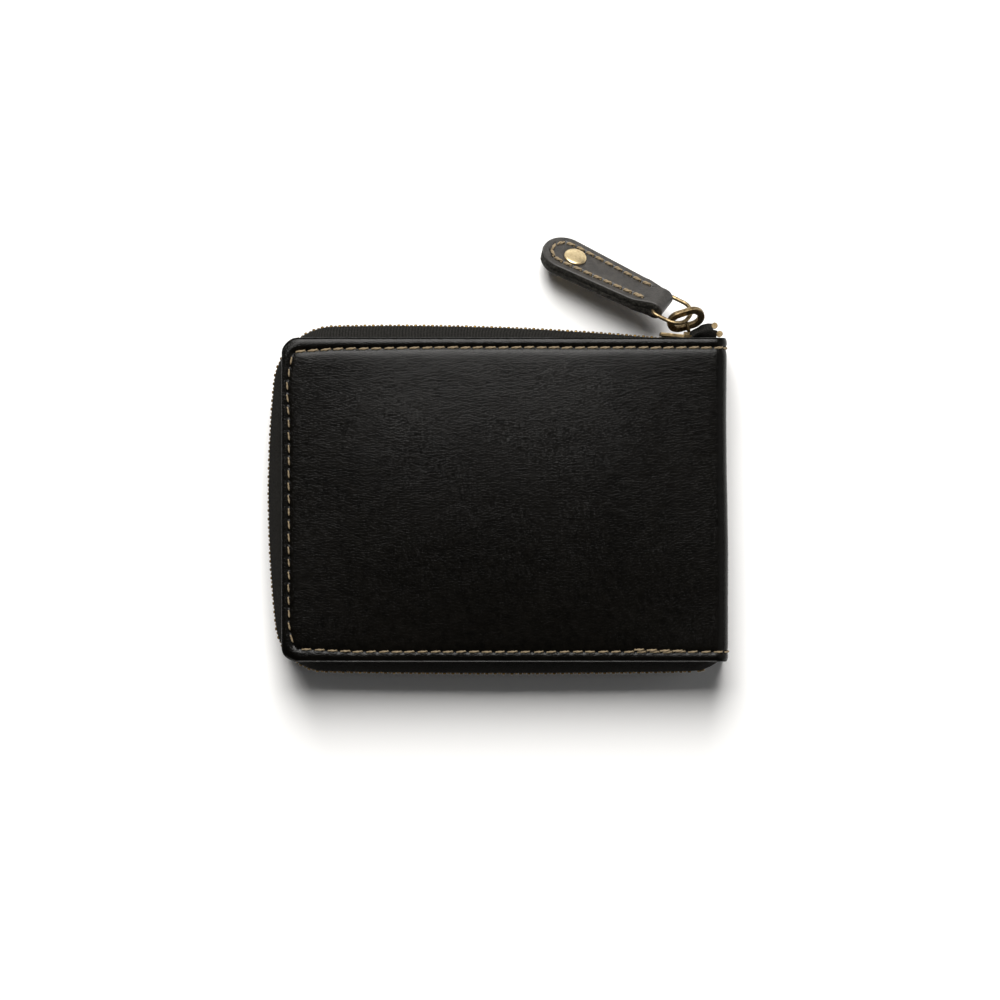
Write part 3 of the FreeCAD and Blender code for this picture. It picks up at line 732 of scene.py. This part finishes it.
def onto_outline(points, inset):
    """Nearest points on the cover's rounded outline, moved in by an inset."""
    corner = max(CORNER, inset + 0.4)
    radius = corner - inset
    centre = np.stack([
        np.maximum(points[:, 0], LEFT + corner),
        np.clip(points[:, 1], -HALF_DEPTH + corner, HALF_DEPTH - corner),
    ], -1)
    return centre + unit(points - centre) * radius


# ---- zip tapes and teeth
TAPE = 0.5
TAPE_TOP = 20.3  # under the front cover
TAPE_FOOT = 13.0  # at the teeth
TAPE_MOUTH = 19.5  # where it comes out from under the cover
TAPE_SHOULDER = 14.9
TAPE_BRINK = 0.6  # how far the tape stands out past the chain's line
TAPE_INSETS = (1.6, 4.6)  # of its seam and its hidden edge, from the cover's outline
TAPE_FALL = (  # height and outward shift of its rows down to the teeth
    (14.6, 0.0), (14.1, -0.06), (13.7, 0.04), (13.3, 0.08), (TAPE_FOOT, -0.05),
)
TAPE_LEVEL = 9.0
TAPE_WAVE = (0.3, 0.06)  # how far it ripples up and down, and in and out


def tape_strip(half):
    """Woven tape that comes out from under the cover, turns over and stands down to the teeth."""
    path = chain_path()
    normals = outward_normals(path)
    seam, inside = (onto_outline(path, inset) for inset in TAPE_INSETS)
    count = len(path)
    wave = sheet_noise(*path.T, TAPE_LEVEL * SIDES[half], 16.0, 2, 4.0)
    outer, inner = [], []
    for share, z in ((1.0, TAPE_TOP), (0.5, TAPE_TOP - 0.3)):
        outer.append(np.column_stack([seam + (inside - seam) * share, np.full(count, z)]))
    brink = path + normals * TAPE_BRINK
    for share in np.linspace(0, 1, 12):
        flat = seam + (brink - seam) * share ** 0.85
        z = TAPE_MOUTH - (TAPE_MOUTH - TAPE_SHOULDER) * share ** 1.35
        outer.append(np.column_stack([flat, z + TAPE_WAVE[0] * wave * math.sin(math.pi * share)]))
    for z, shift in TAPE_FALL:
        flat = brink + normals * (shift + TAPE_WAVE[1] * wave[:, None])
        outer.append(np.column_stack([flat, np.full(count, z)]))
    for index, row in enumerate(outer):
        before = outer[max(index - 1, 0)]
        after = outer[min(index + 1, len(outer) - 1)]
        run = after - before
        side = np.column_stack([normals, np.zeros(count)])
        across = np.sum(run * side, axis=1)
        drop = run[:, 2]
        size = np.hypot(across, drop) + 1e-9
        inward = side * (drop / size)[:, None] + np.array([0, 0, 1]) * (-across / size)[:, None]
        inner.append(row + inward * TAPE)
    rows = np.array(outer + inner[::-1])
    if half == "back":
        rows[..., 2] = THICKNESS - rows[..., 2]
    loop = len(rows)
    faces = []
    for r in range(loop):
        for c in range(count - 1):
            a, b = r * count + c, ((r + 1) % loop) * count + c
            quad = (a, b, b + 1, a + 1)
            faces.append(quad if half == "front" else quad[::-1])
    return mesh_piece(half + "_tape", rows.reshape(-1, 3), faces, TAPE_CLOTH)


def tooth_places(node_name):
    """Centres of the CAD teeth, in millimetres."""
    mesh = frame["nodes"][node_name].data
    shared = bmesh.new()
    shared.from_mesh(mesh)
    bmesh.ops.remove_doubles(shared, verts=shared.verts, dist=1e-6)
    seen = set()
    places = []
    for first in shared.verts:
        if first in seen:
            continue
        seen.add(first)
        tooth = [first]
        for vertex in tooth:
            others = [edge.other_vert(vertex) for edge in vertex.link_edges]
            tooth += [other for other in others if other not in seen]
            seen.update(others)
        points = np.array([vertex.co / MM for vertex in tooth])
        places.append((points.min(0) + points.max(0)) / 2)
    shared.free()
    return np.array(places)


TOOTH_RINGS = (  # height from the chain's middle, half length, half width
    (2.30, 0.30, 0.55), (2.22, 0.42, 0.95), (1.90, 0.46, 1.13), (0.75, 0.46, 1.13),
    (0.45, 0.46, 0.96), (-0.20, 0.40, 0.88), (-0.44, 0.28, 0.64),
)
TOOTH_AROUND = 12
TOOTH_SQUARENESS = 0.45
TOOTH_TILT = 0.03
TOOTH_SEEDS = {"front": 31, "back": 32}


def teeth(half):
    """One row of teeth, each with rounded corners, at the places of the CAD teeth."""
    path = chain_path()
    normals = outward_normals(path)
    around = 2 * math.pi * (np.arange(TOOTH_AROUND) + 0.5) / TOOTH_AROUND
    corner_x = np.sign(np.cos(around)) * np.abs(np.cos(around)) ** TOOTH_SQUARENESS
    corner_y = np.sign(np.sin(around)) * np.abs(np.sin(around)) ** TOOTH_SQUARENESS
    rng = np.random.default_rng(TOOTH_SEEDS[half])
    vertices, faces = [], []
    for place in tooth_places(half + "_zip_teeth"):
        nearest = np.argmin(np.linalg.norm(path - place[:2], axis=1))
        out = normals[nearest]
        out = out + left_of(out) * rng.normal(0, TOOTH_TILT)
        ahead = left_of(out)
        start = len(vertices)
        for height, half_length, half_width in TOOTH_RINGS:
            for x, y in zip(corner_x, corner_y):
                flat = place[:2] + ahead * half_length * x + out * half_width * y
                vertices.append((*flat, MIDDLE + SIDES[half] * height))
        faces += tube_faces(len(TOOTH_RINGS), TOOTH_AROUND, start, half == "front")
        faces += end_caps(len(TOOTH_RINGS), TOOTH_AROUND, start, True)
    return mesh_piece(half + "_teeth", vertices, faces, TOOTH_BRASS)


TAPE_ENDS = {  # route of the loose end, and the height of its middle
    "back": (((49.6, 44.3), (51.6, 45.7), (53.8, 46.9), (56.5, 47.3)), 9.6),
    "front": (((50.0, 43.2), (52.4, 44.7), (54.8, 45.5), (57.4, 45.1)), 12.9),
}
LOOSE_TURN = (15, 40)  # degrees at its start, and more at its tip
LOOSE_WIDTH = (2.3, 1.0)  # half width at its start, and less at its tip
LOOSE_THICK = 0.40


def tape_end(half):
    """Loose end of the tape past the slider, twisting as it comes out to its stop."""
    route, z = TAPE_ENDS[half]
    count, around = 40, 18
    route = resample(route, 0.1)
    steps = np.linspace(0, 1, count)
    line = np.stack([np.interp(steps, np.linspace(0, 1, len(route)), column) for column in route.T], -1)
    line[1:-1] = (line[:-2] + 2 * line[1:-1] + line[2:]) / 4
    normals = outward_normals(line) * -1
    vertices = []
    for index, t in enumerate(steps):
        turn = SIDES[half] * math.radians(LOOSE_TURN[0] + LOOSE_TURN[1] * t)
        side = normals[index]
        axis = np.array([*(side * math.sin(turn)), math.cos(turn)])
        thickness = np.array([*(side * math.cos(turn)), -math.sin(turn)])
        width = LOOSE_WIDTH[0] - LOOSE_WIDTH[1] * t ** 2
        centre = np.array([*(line[index] + side * 0.10 * math.sin(9 * t)), z])
        swell = LOOSE_THICK + 0.10 * math.sin(11 * t + SIDES[half]) + 0.12 * t
        for a in 2 * math.pi * np.arange(around) / around:
            vertices.append(centre + axis * width * math.cos(a) + thickness * swell * math.sin(a))
    faces = tube_faces(count, around) + end_caps(count, around)
    return mesh_piece(half + "_tape_end", vertices, faces, TAPE_CLOTH)


# ---- pull tab
TAB_PIVOT = np.array((41.622, 53.836, 12.025))
TAB_ALONG = np.array((-0.870, 0.440, -0.209))
TAB_NORMAL = np.array((0.180, 0.687, 0.704))
TAB_LEATHER_THICK = 1.8
TAB_EYE = 0.85
TAB_NECK_AT = 5.5
TAB_FOLD_HALF = 3.8
TAB_NECK_HALF = 5.2
TAB_ROUND_AT = 29.2
TAB_ROUND_RADIUS = 6.4
TAB_STITCH_INSET = 2.3
TAB_STITCH_PITCH = 2.95
TAB_SEWN_FROM = 4.0
TAB_EDGE = 0.40
RIVET_AT = 26.3
RIVET_RADIUS = 3.1
TAB_THREAD_RADIUS = 0.29
TAB_STITCH = 2.25
TAB_STITCH_SPREAD = (0.96, 1.04)
TAB_STITCH_SLANT = 0.12
TAB_STITCH_RISE = 0.14
TAB_SEED = 21
TAB_GROOVE = 0.16  # depth of the channel of its stitches, and their needle holes
TAB_HOLE_DEPTH = 0.9
TAB_HOLE_RADIUS = 0.42
RIVET_DENT = 0.22  # depth and reach of the dent round the rivet
RIVET_DENT_REACH = 0.7
TAB_GRAIN = 0.05
TAB_LEVEL = 4.0
TAB_COLUMNS = 61
EDGE_LEVELS = 13
SEAM_DEPTH = 0.30  # of the line between the two layers at the cut edge
SEAM_REACH = 0.05  # as a share of the edge's height
EDGE_OUT = 0.10
EDGE_ROUGH = 0.16
FOLD_OUTSIDE = TAB_EYE + TAB_LEATHER_THICK
FOLD_RUN = TAB_NECK_AT + 1.5
TAB_RISE = math.atan2(TAB_ROUND_RADIUS - TAB_NECK_HALF, TAB_ROUND_AT - TAB_NECK_AT)
TAB_TOUCH = TAB_ROUND_AT - TAB_ROUND_RADIUS * math.sin(TAB_RISE)


def tab_place(local):
    """Where points of the tab are; local x runs along it, y across and z out of its face."""
    x_axis = unit(TAB_ALONG)
    y_axis = unit(np.cross(TAB_NORMAL, x_axis))
    z_axis = np.cross(x_axis, y_axis)
    return TAB_PIVOT + np.asarray(local, float) @ np.array([x_axis, y_axis, z_axis])


def tab_half_width(x):
    widest = TAB_ROUND_RADIUS * math.cos(TAB_RISE)
    straight = np.interp(x, [1.0, TAB_NECK_AT, TAB_TOUCH], [TAB_FOLD_HALF, TAB_NECK_HALF, widest])
    rounded = np.sqrt(np.maximum(TAB_ROUND_RADIUS ** 2 - (x - TAB_ROUND_AT) ** 2, 0))
    return np.where(x > TAB_TOUCH, rounded, straight)


def tab_from_edge(x, y):
    """Distance in from the tab's outline."""
    rounded = TAB_ROUND_RADIUS - np.hypot(x - TAB_ROUND_AT, y)
    straight = (tab_half_width(np.minimum(x, TAB_TOUCH)) - np.abs(y)) * math.cos(TAB_RISE)
    return np.where(x > TAB_TOUCH, rounded, straight)


def tab_profile():
    """Side line of the tab's face from the fold's middle to the tip, with its outward directions."""
    touch = math.asin(TAB_EYE / math.hypot(FOLD_RUN, TAB_EYE))
    angles = np.linspace(math.pi, math.pi / 2 - touch, 16)
    fold = np.stack([FOLD_OUTSIDE * np.cos(angles), FOLD_OUTSIDE * np.sin(angles)], -1)
    fold_out = np.stack([np.cos(angles), np.sin(angles)], -1)
    slope_x = np.linspace(fold[-1, 0], FOLD_RUN, 15)[1:]
    slope_z = np.interp(slope_x, [fold[-1, 0], FOLD_RUN], [fold[-1, 1], TAB_LEATHER_THICK])
    slope = np.stack([slope_x, slope_z], -1)
    flat_x = np.r_[np.arange(FOLD_RUN + 0.4, TAB_ROUND_AT, 0.4),
                   TAB_ROUND_AT + TAB_ROUND_RADIUS * np.sin(np.linspace(0, math.pi / 2, 26))]
    flat = np.stack([flat_x, np.full_like(flat_x, TAB_LEATHER_THICK)], -1)
    places = np.vstack([fold, slope, flat])
    slope_out = np.repeat(fold_out[-1:], len(slope), 0)
    flat_out = np.repeat([[0.0, 1.0]], len(flat), 0)
    return places, np.vstack([fold_out, slope_out, flat_out])


def tab_stitch_run():
    """Stitch ends down one side of the tab, round its tip and back."""
    inset = TAB_STITCH_INSET
    neck = np.array((TAB_SEWN_FROM, TAB_NECK_HALF - 0.1 - inset))
    radius = TAB_ROUND_RADIUS - inset
    angles = np.linspace(math.pi / 2 + TAB_RISE, -math.pi / 2 - TAB_RISE, 40)
    tip = np.stack([TAB_ROUND_AT + radius * np.cos(angles), radius * np.sin(angles)], -1)
    return resample(np.vstack([neck, tip, neck * (1, -1)]), TAB_STITCH_PITCH)


def tab_face(x, y, level, run):
    """How far the tab's face stands off its side line."""
    edge = np.clip(tab_from_edge(x, y), 0, None)
    round_left = np.sqrt(np.maximum(TAB_EDGE ** 2 - (TAB_EDGE - edge) ** 2, 0))
    rounding = np.where(edge < TAB_EDGE, TAB_EDGE - round_left, 0)
    sewn = smoothstep(TAB_SEWN_FROM - 1, TAB_SEWN_FROM + 1, x)
    stand = -rounding - TAB_GROOVE * sewn * np.exp(-((edge - TAB_STITCH_INSET) / TAB_HOLE_RADIUS) ** 2)
    for hole_x, hole_y in run:
        away = (x - hole_x) ** 2 + (y - hole_y) ** 2
        stand -= TAB_HOLE_DEPTH * np.exp(-away / TAB_HOLE_RADIUS ** 2)
    from_rivet = np.hypot(x - RIVET_AT, y)
    stand -= RIVET_DENT * np.exp(-((from_rivet - RIVET_RADIUS) / RIVET_DENT_REACH) ** 2)
    stand += TAB_GRAIN * sheet_noise(x, y, level, 6.0, 3, 5.0) * smoothstep(0, 1, edge)
    return stand


def pull_tab():
    """The strap, folded round the ring, its two layers pressed together with rough cut edges."""
    places, out = tab_profile()
    run = tab_stitch_run()
    columns = TAB_COLUMNS
    share = np.sin(np.linspace(-1, 1, columns) * math.pi / 2)
    share = np.sign(share) * (1 - (1 - np.abs(share)) ** 1.25)  # closer together near the edges
    vertices, faces, edge_faces, borders = [], [], [], []
    for sign in (1, -1):
        x = np.repeat(places[:, :1], columns, 1)
        y = tab_half_width(x) * share[None, :]
        stand = tab_face(x, y, TAB_LEVEL * sign, run)
        px = x + out[:, :1] * stand
        pz = sign * (places[:, 1:] + out[:, 1:] * stand)
        offset = len(vertices)
        vertices.extend(np.stack([px, y, pz], -1).reshape(-1, 3))
        faces.extend(grid_faces(len(places), columns, offset, sign > 0))
        one_side = [offset + r * columns for r in range(len(places))]
        borders.append(one_side[::-1] + [first + columns - 1 for first in one_side])
    upper, lower = borders
    previous = upper
    base = np.array([vertices[i] for i in upper])
    floor = np.array([vertices[i] for i in lower])
    outward = np.stack([np.maximum(base[:, 0] - TAB_TOUCH, 0), base[:, 1], np.zeros(len(base))], -1)
    outward = unit(outward)
    for level in range(1, EDGE_LEVELS):
        share_down = level / EDGE_LEVELS
        row = base + (floor - base) * share_down
        seam = -SEAM_DEPTH * math.exp(-((share_down - 0.5) / SEAM_REACH) ** 2)
        rough = fractal(row, 1.3, 4, 6.0)
        start = len(vertices)
        vertices.extend(row + outward * (seam + EDGE_OUT + EDGE_ROUGH * rough)[:, None])
        current = list(range(start, start + len(row)))
        edge_faces += join_rows(previous, current)
        previous = current
    edge_faces += join_rows(previous, lower)
    piece = mesh_piece("pull_tab", tab_place(vertices), faces + edge_faces, TAB_LEATHER)
    piece.data.materials.append(RAW_EDGE)
    for index in range(len(faces), len(faces) + len(edge_faces)):
        piece.data.polygons[index].material_index = 1
    shape = bmesh.new()
    shape.from_mesh(piece.data)
    bmesh.ops.remove_doubles(shape, verts=shape.verts, dist=1e-6)
    bmesh.ops.recalc_face_normals(shape, faces=shape.faces)
    shape.to_mesh(piece.data)
    shape.free()
    return piece


def tab_thread():
    """Stitches on both faces of the tab; the first one on its face is sewn twice."""
    run = tab_stitch_run()
    rng = np.random.default_rng(TAB_SEED)
    vertices, faces = [], []
    side_line = tab_profile()[0]
    pairs = list(zip(run[:-1], run[1:]))
    for sign in (1, -1):
        extra = [(pairs[0][0] + (-0.3, 0.25), pairs[0][1] + (-0.9, 0.25))] if sign > 0 else []
        for first, second in pairs + extra:
            length = TAB_STITCH * rng.uniform(*TAB_STITCH_SPREAD)
            share, flat = stitch_line(first, second, length, TAB_STITCH_SLANT)
            face = np.interp(flat[:, 0], *side_line[15:].T)  # leaves out the fold
            rise = face + TAB_STITCH_RISE - STITCH_DIP * np.abs(share) ** 4
            path = np.column_stack([flat, sign * rise])
            normals = np.repeat([[0.0, 0.0, 1.0 * sign]], len(path), 0)
            add_part(vertices, faces, *twisted_thread(path, normals, TAB_THREAD_RADIUS))
    return mesh_piece("tab_thread", tab_place(vertices), faces, THREAD)


CAP_PROFILE = (  # radius, height over the leather
    (3.05, -0.15), (3.12, 0.05), (3.13, 0.22), (3.05, 0.38), (2.85, 0.50), (2.5, 0.60), (2.0, 0.69),
    (1.4, 0.76), (0.7, 0.80), (0.0, 0.81),
)
CAP_AROUND = 64
CAP_SINK = 0.05


def rivet_head(name, sign, height):
    """Low domed cap with a rolled rim."""
    vertices = []
    for radius, rise in CAP_PROFILE:
        z = sign * (TAB_LEATHER_THICK + rise * height - CAP_SINK)
        for k in range(CAP_AROUND if radius else 1):
            a = 2 * math.pi * k / CAP_AROUND
            vertices.append((RIVET_AT + radius * math.cos(a), radius * math.sin(a), z))
    faces = tube_faces(len(CAP_PROFILE) - 1, CAP_AROUND, 0, sign < 0)
    top = len(vertices) - 1
    last_ring = top - CAP_AROUND
    for k in range(CAP_AROUND):
        a, b = last_ring + k, last_ring + (k + 1) % CAP_AROUND
        faces.append((a, b, top) if sign > 0 else (b, a, top))
    return mesh_piece(name, tab_place(vertices), faces, RIVET_BRASS)


# ---- inside
LINING_DEPTH = 2.8  # its inner face, from the leather's outer face
LINING_INSET = 3.4
LINING_SLACK = 0.12  # room for its waves
LINING_WAVE = 0.10
LINING_BACK = 0.5
LINING_LEVEL = 6.0
NOTCH_RADIUS = 9.0  # thumb notch of a card pocket
NOTCH_OVER = 5.5  # how far its centre lies over the mouth
POCKET_SHIFT = 0.15  # how far its face is sunk, with room for the hem
HEM = 0.12  # height of the turned edge, which ends softly between these widths
HEM_WIDTH = 2.6
HEM_FADE = 3.2
HEM_GROOVE = 0.10  # along the stitches
HEM_STITCHES = 2.0  # from the mouth
POCKET_EDGE = 0.30
POCKET_GRAIN = 0.04
WALL_THICK = 0.8
POCKET_STITCH = 1.8
POCKET_PITCH = 2.6
POCKET_THREAD_RADIUS = 0.14
POCKET_TWIST = 3.0
POCKET_CLEAR = 9.5  # half width round the notch without stitches


def lining_cloth(half):
    """Twill lining of one half, carried round the fold to the middle of the spine."""
    us = np.r_[np.linspace(LINING_INSET, FLAT, 90), np.linspace(FLAT, FLAT + ARC, 10)[1:],
               np.linspace(FLAT + ARC, WRAP, 14)[1:]]
    vs = np.linspace(-HALF_DEPTH + LINING_INSET, HALF_DEPTH - LINING_INSET, 70)
    u, v = np.meshgrid(us, vs)
    place, normal = wrap_frame(u, v, half)
    wave = LINING_WAVE * sheet_noise(u, v, LINING_LEVEL * SIDES[half], 14.0, 3, 8.0)
    wave = wave * (1 - smoothstep(FLAT - 8, FLAT, u))
    inner = place - normal * (LINING_DEPTH - LINING_SLACK + wave)[..., None]
    outer = place - normal * (LINING_DEPTH - LINING_BACK)
    return mesh_piece(half + "_lining_cloth", *two_faced(inner, outer, half == "front"), LINING)


def pocket_sheet(half, name, notch):
    """Leather panel of a pocket with its mouth edge turned over, and a thumb notch where it has one."""
    low, high = node_box(half + "_" + name)
    xs = np.linspace(low.x, high.x, 110)
    centre = (low.x + high.x) / 2
    cut = 0 * xs
    if notch:
        cut = np.maximum(np.sqrt(np.maximum(NOTCH_RADIUS ** 2 - (xs - centre) ** 2, 0)) - NOTCH_OVER, 0)
    share = np.r_[np.linspace(0, 0.85, 36), np.linspace(0.85, 1, 25)[1:]]
    y = low.y + np.outer(share, high.y - cut - low.y)
    x = np.repeat(xs[None, :], len(share), 0)
    from_mouth = (high.y - cut)[None, :] - y
    side = np.minimum(x - low.x, high.x - x)
    groove = np.exp(-((from_mouth - HEM_STITCHES) / 0.25) ** 2)
    face = HEM * (1 - smoothstep(HEM_WIDTH, HEM_FADE, from_mouth)) - HEM_GROOVE * groove
    face -= POCKET_EDGE * (1 - smoothstep(0, 0.5, np.minimum(from_mouth, side)))
    face = face + POCKET_GRAIN * sheet_noise(x, y, low.z, 9.0, 3, 3.0)
    near, far = (high.z, low.z) if half == "back" else (low.z, high.z)
    top = near - SIDES[half] * (face - POCKET_SHIFT)
    foot = np.full_like(x, far if notch else near + SIDES[half] * WALL_THICK)
    flip = half == "front"
    vertices, faces = two_faced(np.stack([x, y, top], -1), np.stack([x, y, foot], -1), flip)
    r, c = x.shape
    rim = (list(range(c)) + [k * c + c - 1 for k in range(1, r)]
           + [(r - 1) * c + k for k in range(c - 2, -1, -1)] + [k * c for k in range(r - 2, 0, -1)])
    for a, b in zip(rim, rim[1:] + rim[:1]):
        quad = (a, a + x.size, b + x.size, b)
        faces.append(quad[::-1] if flip else quad)
    return mesh_piece(half + "_" + name + "_leather", vertices, faces, POCKET_LEATHER)


def pocket_thread(half):
    """A line of small stitches under each mouth."""
    vertices, faces = [], []
    for name in POCKETS:
        low, high = node_box(half + "_" + name)
        surface = high.z if half == "back" else low.z
        centre = (low.x + high.x) / 2
        for x in np.arange(low.x + 2.5, high.x - 2.5, POCKET_PITCH):
            if name != "bill_wall" and abs(x - centre) < POCKET_CLEAR:
                continue
            t = np.linspace(0, 1, 6)
            rise = 0.02 - 0.14 * np.abs(2 * t - 1) ** 3
            y = np.full_like(t, high.y - HEM_STITCHES)
            path = np.column_stack([x + POCKET_STITCH * t, y, surface - SIDES[half] * rise])
            normals = np.repeat([[0.0, 0.0, -SIDES[half]]], len(t), 0)
            add_part(vertices, faces, *twisted_thread(path, normals, POCKET_THREAD_RADIUS, POCKET_TWIST))
    return mesh_piece(half + "_pocket_thread", vertices, faces, THREAD)


# ---- build
FLOOR_HALF = 3.0  # metres
FLOOR_WHITE = 0.93


def build_floor():
    mesh = bpy.data.meshes.new("floor")
    corners = [(x * FLOOR_HALF, y * FLOOR_HALF, 0) for x, y in ((-1, -1), (1, -1), (1, 1), (-1, 1))]
    mesh.from_pydata(corners, [], [(0, 1, 2, 3)])
    mesh.materials.append(new_material("floor", (FLOOR_WHITE,) * 3, 0.9, specular=0.1)[0])
    add_object("floor", mesh)


CAMERA_X = -1.62
CAMERA_Y = 0.15
CAMERA_DISTANCE = 1000.0
VIEW_WIDTH = 270.0
SENSOR = 36.0


def build_camera():
    data = bpy.data.cameras.new("camera")
    data.sensor_width = SENSOR
    data.lens = SENSOR * CAMERA_DISTANCE / VIEW_WIDTH
    data.clip_end = 10.0
    camera = add_object("camera", data)
    camera.location = Vector((CAMERA_X, CAMERA_Y, THICKNESS + CAMERA_DISTANCE)) * MM
    bpy.context.scene.camera = camera


def area_light(name, place, target, size, power, colour):
    data = bpy.data.lights.new(name, "AREA")
    data.shape = "RECTANGLE"
    data.size, data.size_y = size
    data.energy = power
    data.color = colour
    lamp = add_object(name, data)
    lamp.location = place
    lamp.rotation_mode = "QUATERNION"
    lamp.rotation_quaternion = (Vector(target) - Vector(place)).to_track_quat("-Z", "Y")


ROOM = ((0.0, 0.085), (0.35, 0.07), (0.75, 0.035), (1.0, 0.022))  # brightness by height
KEY_PLACE = (-0.08, 0.95, 1.20)  # metres
KEY_SIZE = (0.85, 1.10)
KEY_POWER = 43.5
KEY_COLOUR = (1.0, 0.985, 0.96)
SIDE_PLACE = (1.1, 0.0, 0.75)
SIDE_TARGET = (0.06, 0, 0.02)
SIDE_SIZE = (1.0, 1.2)
SIDE_POWER = 2.2


def build_light():
    world = bpy.data.worlds.new("studio")
    bpy.context.scene.world = world
    world.use_nodes = True
    tree = world.node_tree
    direction = node(tree, "ShaderNodeTexCoord")
    split = node(tree, "ShaderNodeSeparateXYZ")
    tree.links.new(direction.outputs["Generated"], split.inputs[0])
    shade = ramp(tree, split.outputs["Z"], ROOM)
    tree.links.new(shade, tree.nodes["Background"].inputs["Color"])
    area_light("key", KEY_PLACE, (0, 0, 0), KEY_SIZE, KEY_POWER, KEY_COLOUR)
    area_light("side", SIDE_PLACE, SIDE_TARGET, SIDE_SIZE, SIDE_POWER, (1, 1, 1))
    bpy.context.scene.view_settings.view_transform = "Standard"


def build_covers():
    for half in SIDES:
        leather = leather_wrap(half)
        blend_cover(leather, half)
        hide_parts(half + "_cover", "spine_cover")
        thread = cover_stitching(half)
        blend_cover(thread, half)
        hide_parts(half + "_stitching")


POCKETS = ("bill_wall", "card_pocket_1", "card_pocket_2", "card_pocket_3")


def build_zip():
    for half in SIDES:
        strip = tape_strip(half)
        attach(strip, half + "_half")
        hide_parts(half + "_zip_tape")
        loose = tape_end(half)
        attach(loose, half + "_half")
        row = teeth(half)
        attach(row, half + "_half")
        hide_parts(half + "_zip_teeth")


def build_tab():
    pieces = (
        (pull_tab(), "pull_leather", "tab_leather"),
        (tab_thread(), "pull_stitching", "thread"),
        (rivet_head("rivet_dome", 1, 1.0), "rivet_cap", "polished_brass"),
        (rivet_head("rivet_foot", -1, 0.8), "rivet_back", "polished_brass"),
    )
    for piece, cad_node, finish in pieces:
        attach(piece, "tab")
        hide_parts(cad_node)


def build_inside():
    for half in SIDES:
        cloth = lining_cloth(half)
        blend_cover(cloth, half)
        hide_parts(half + "_lining", "spine_lining")
        for name in POCKETS:
            sheet = pocket_sheet(half, name, name != "bill_wall")
            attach(sheet, half + "_half")
            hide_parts(half + "_" + name)
        rows = pocket_thread(half)
        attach(rows, half + "_half")


CAD_FINISH = {
    "antique_brass": ANTIQUE_BRASS, "polished_brass": RIVET_BRASS, "zip_tape": TAPE_CLOTH, "thread": THREAD,
    "tab_leather": TAB_LEATHER, "pocket_leather": POCKET_LEATHER, "lining_fabric": LINING,
    "cover_leather": COVER_LEATHER, "board": LINING,
}
BEVELS = {
    "slider_body": 0.20, "slider_bail": 0.10, "pull_loop": 0.20,
    "front_top_stop": 0.28, "back_top_stop": 0.28, "bottom_stop": 0.25,
}


def finish_cad_nodes():
    """Gives every CAD node that still shows its own material."""
    slots = {entry["node"]: entry["material_slot"] for entry in frame["record"]["subparts"]}
    for name, piece in frame["nodes"].items():
        piece.data.materials.clear()
        # the slider and its bail take the darker brass, with its painted shade
        finish = SHADED_SLIDER_BRASS if name.startswith("slider") else CAD_FINISH[slots[name]]
        piece.data.materials.append(finish)
        if name in BEVELS:
            soften(piece, BEVELS[name])


def soften(piece, width):
    """Joins the CAD mesh's split faces and rounds its edges."""
    piece.modifiers.new("weld", "WELD").merge_threshold = 1e-6
    rounded = piece.modifiers.new("round", "BEVEL")
    rounded.width = width * MM
    rounded.segments = 3
    rounded.limit_method = "ANGLE"
    rounded.angle_limit = math.radians(35)
    rounded.harden_normals = False


build_camera()
build_light()
build_floor()
finish_cad_nodes()
build_covers()
build_zip()
build_tab()
build_inside()
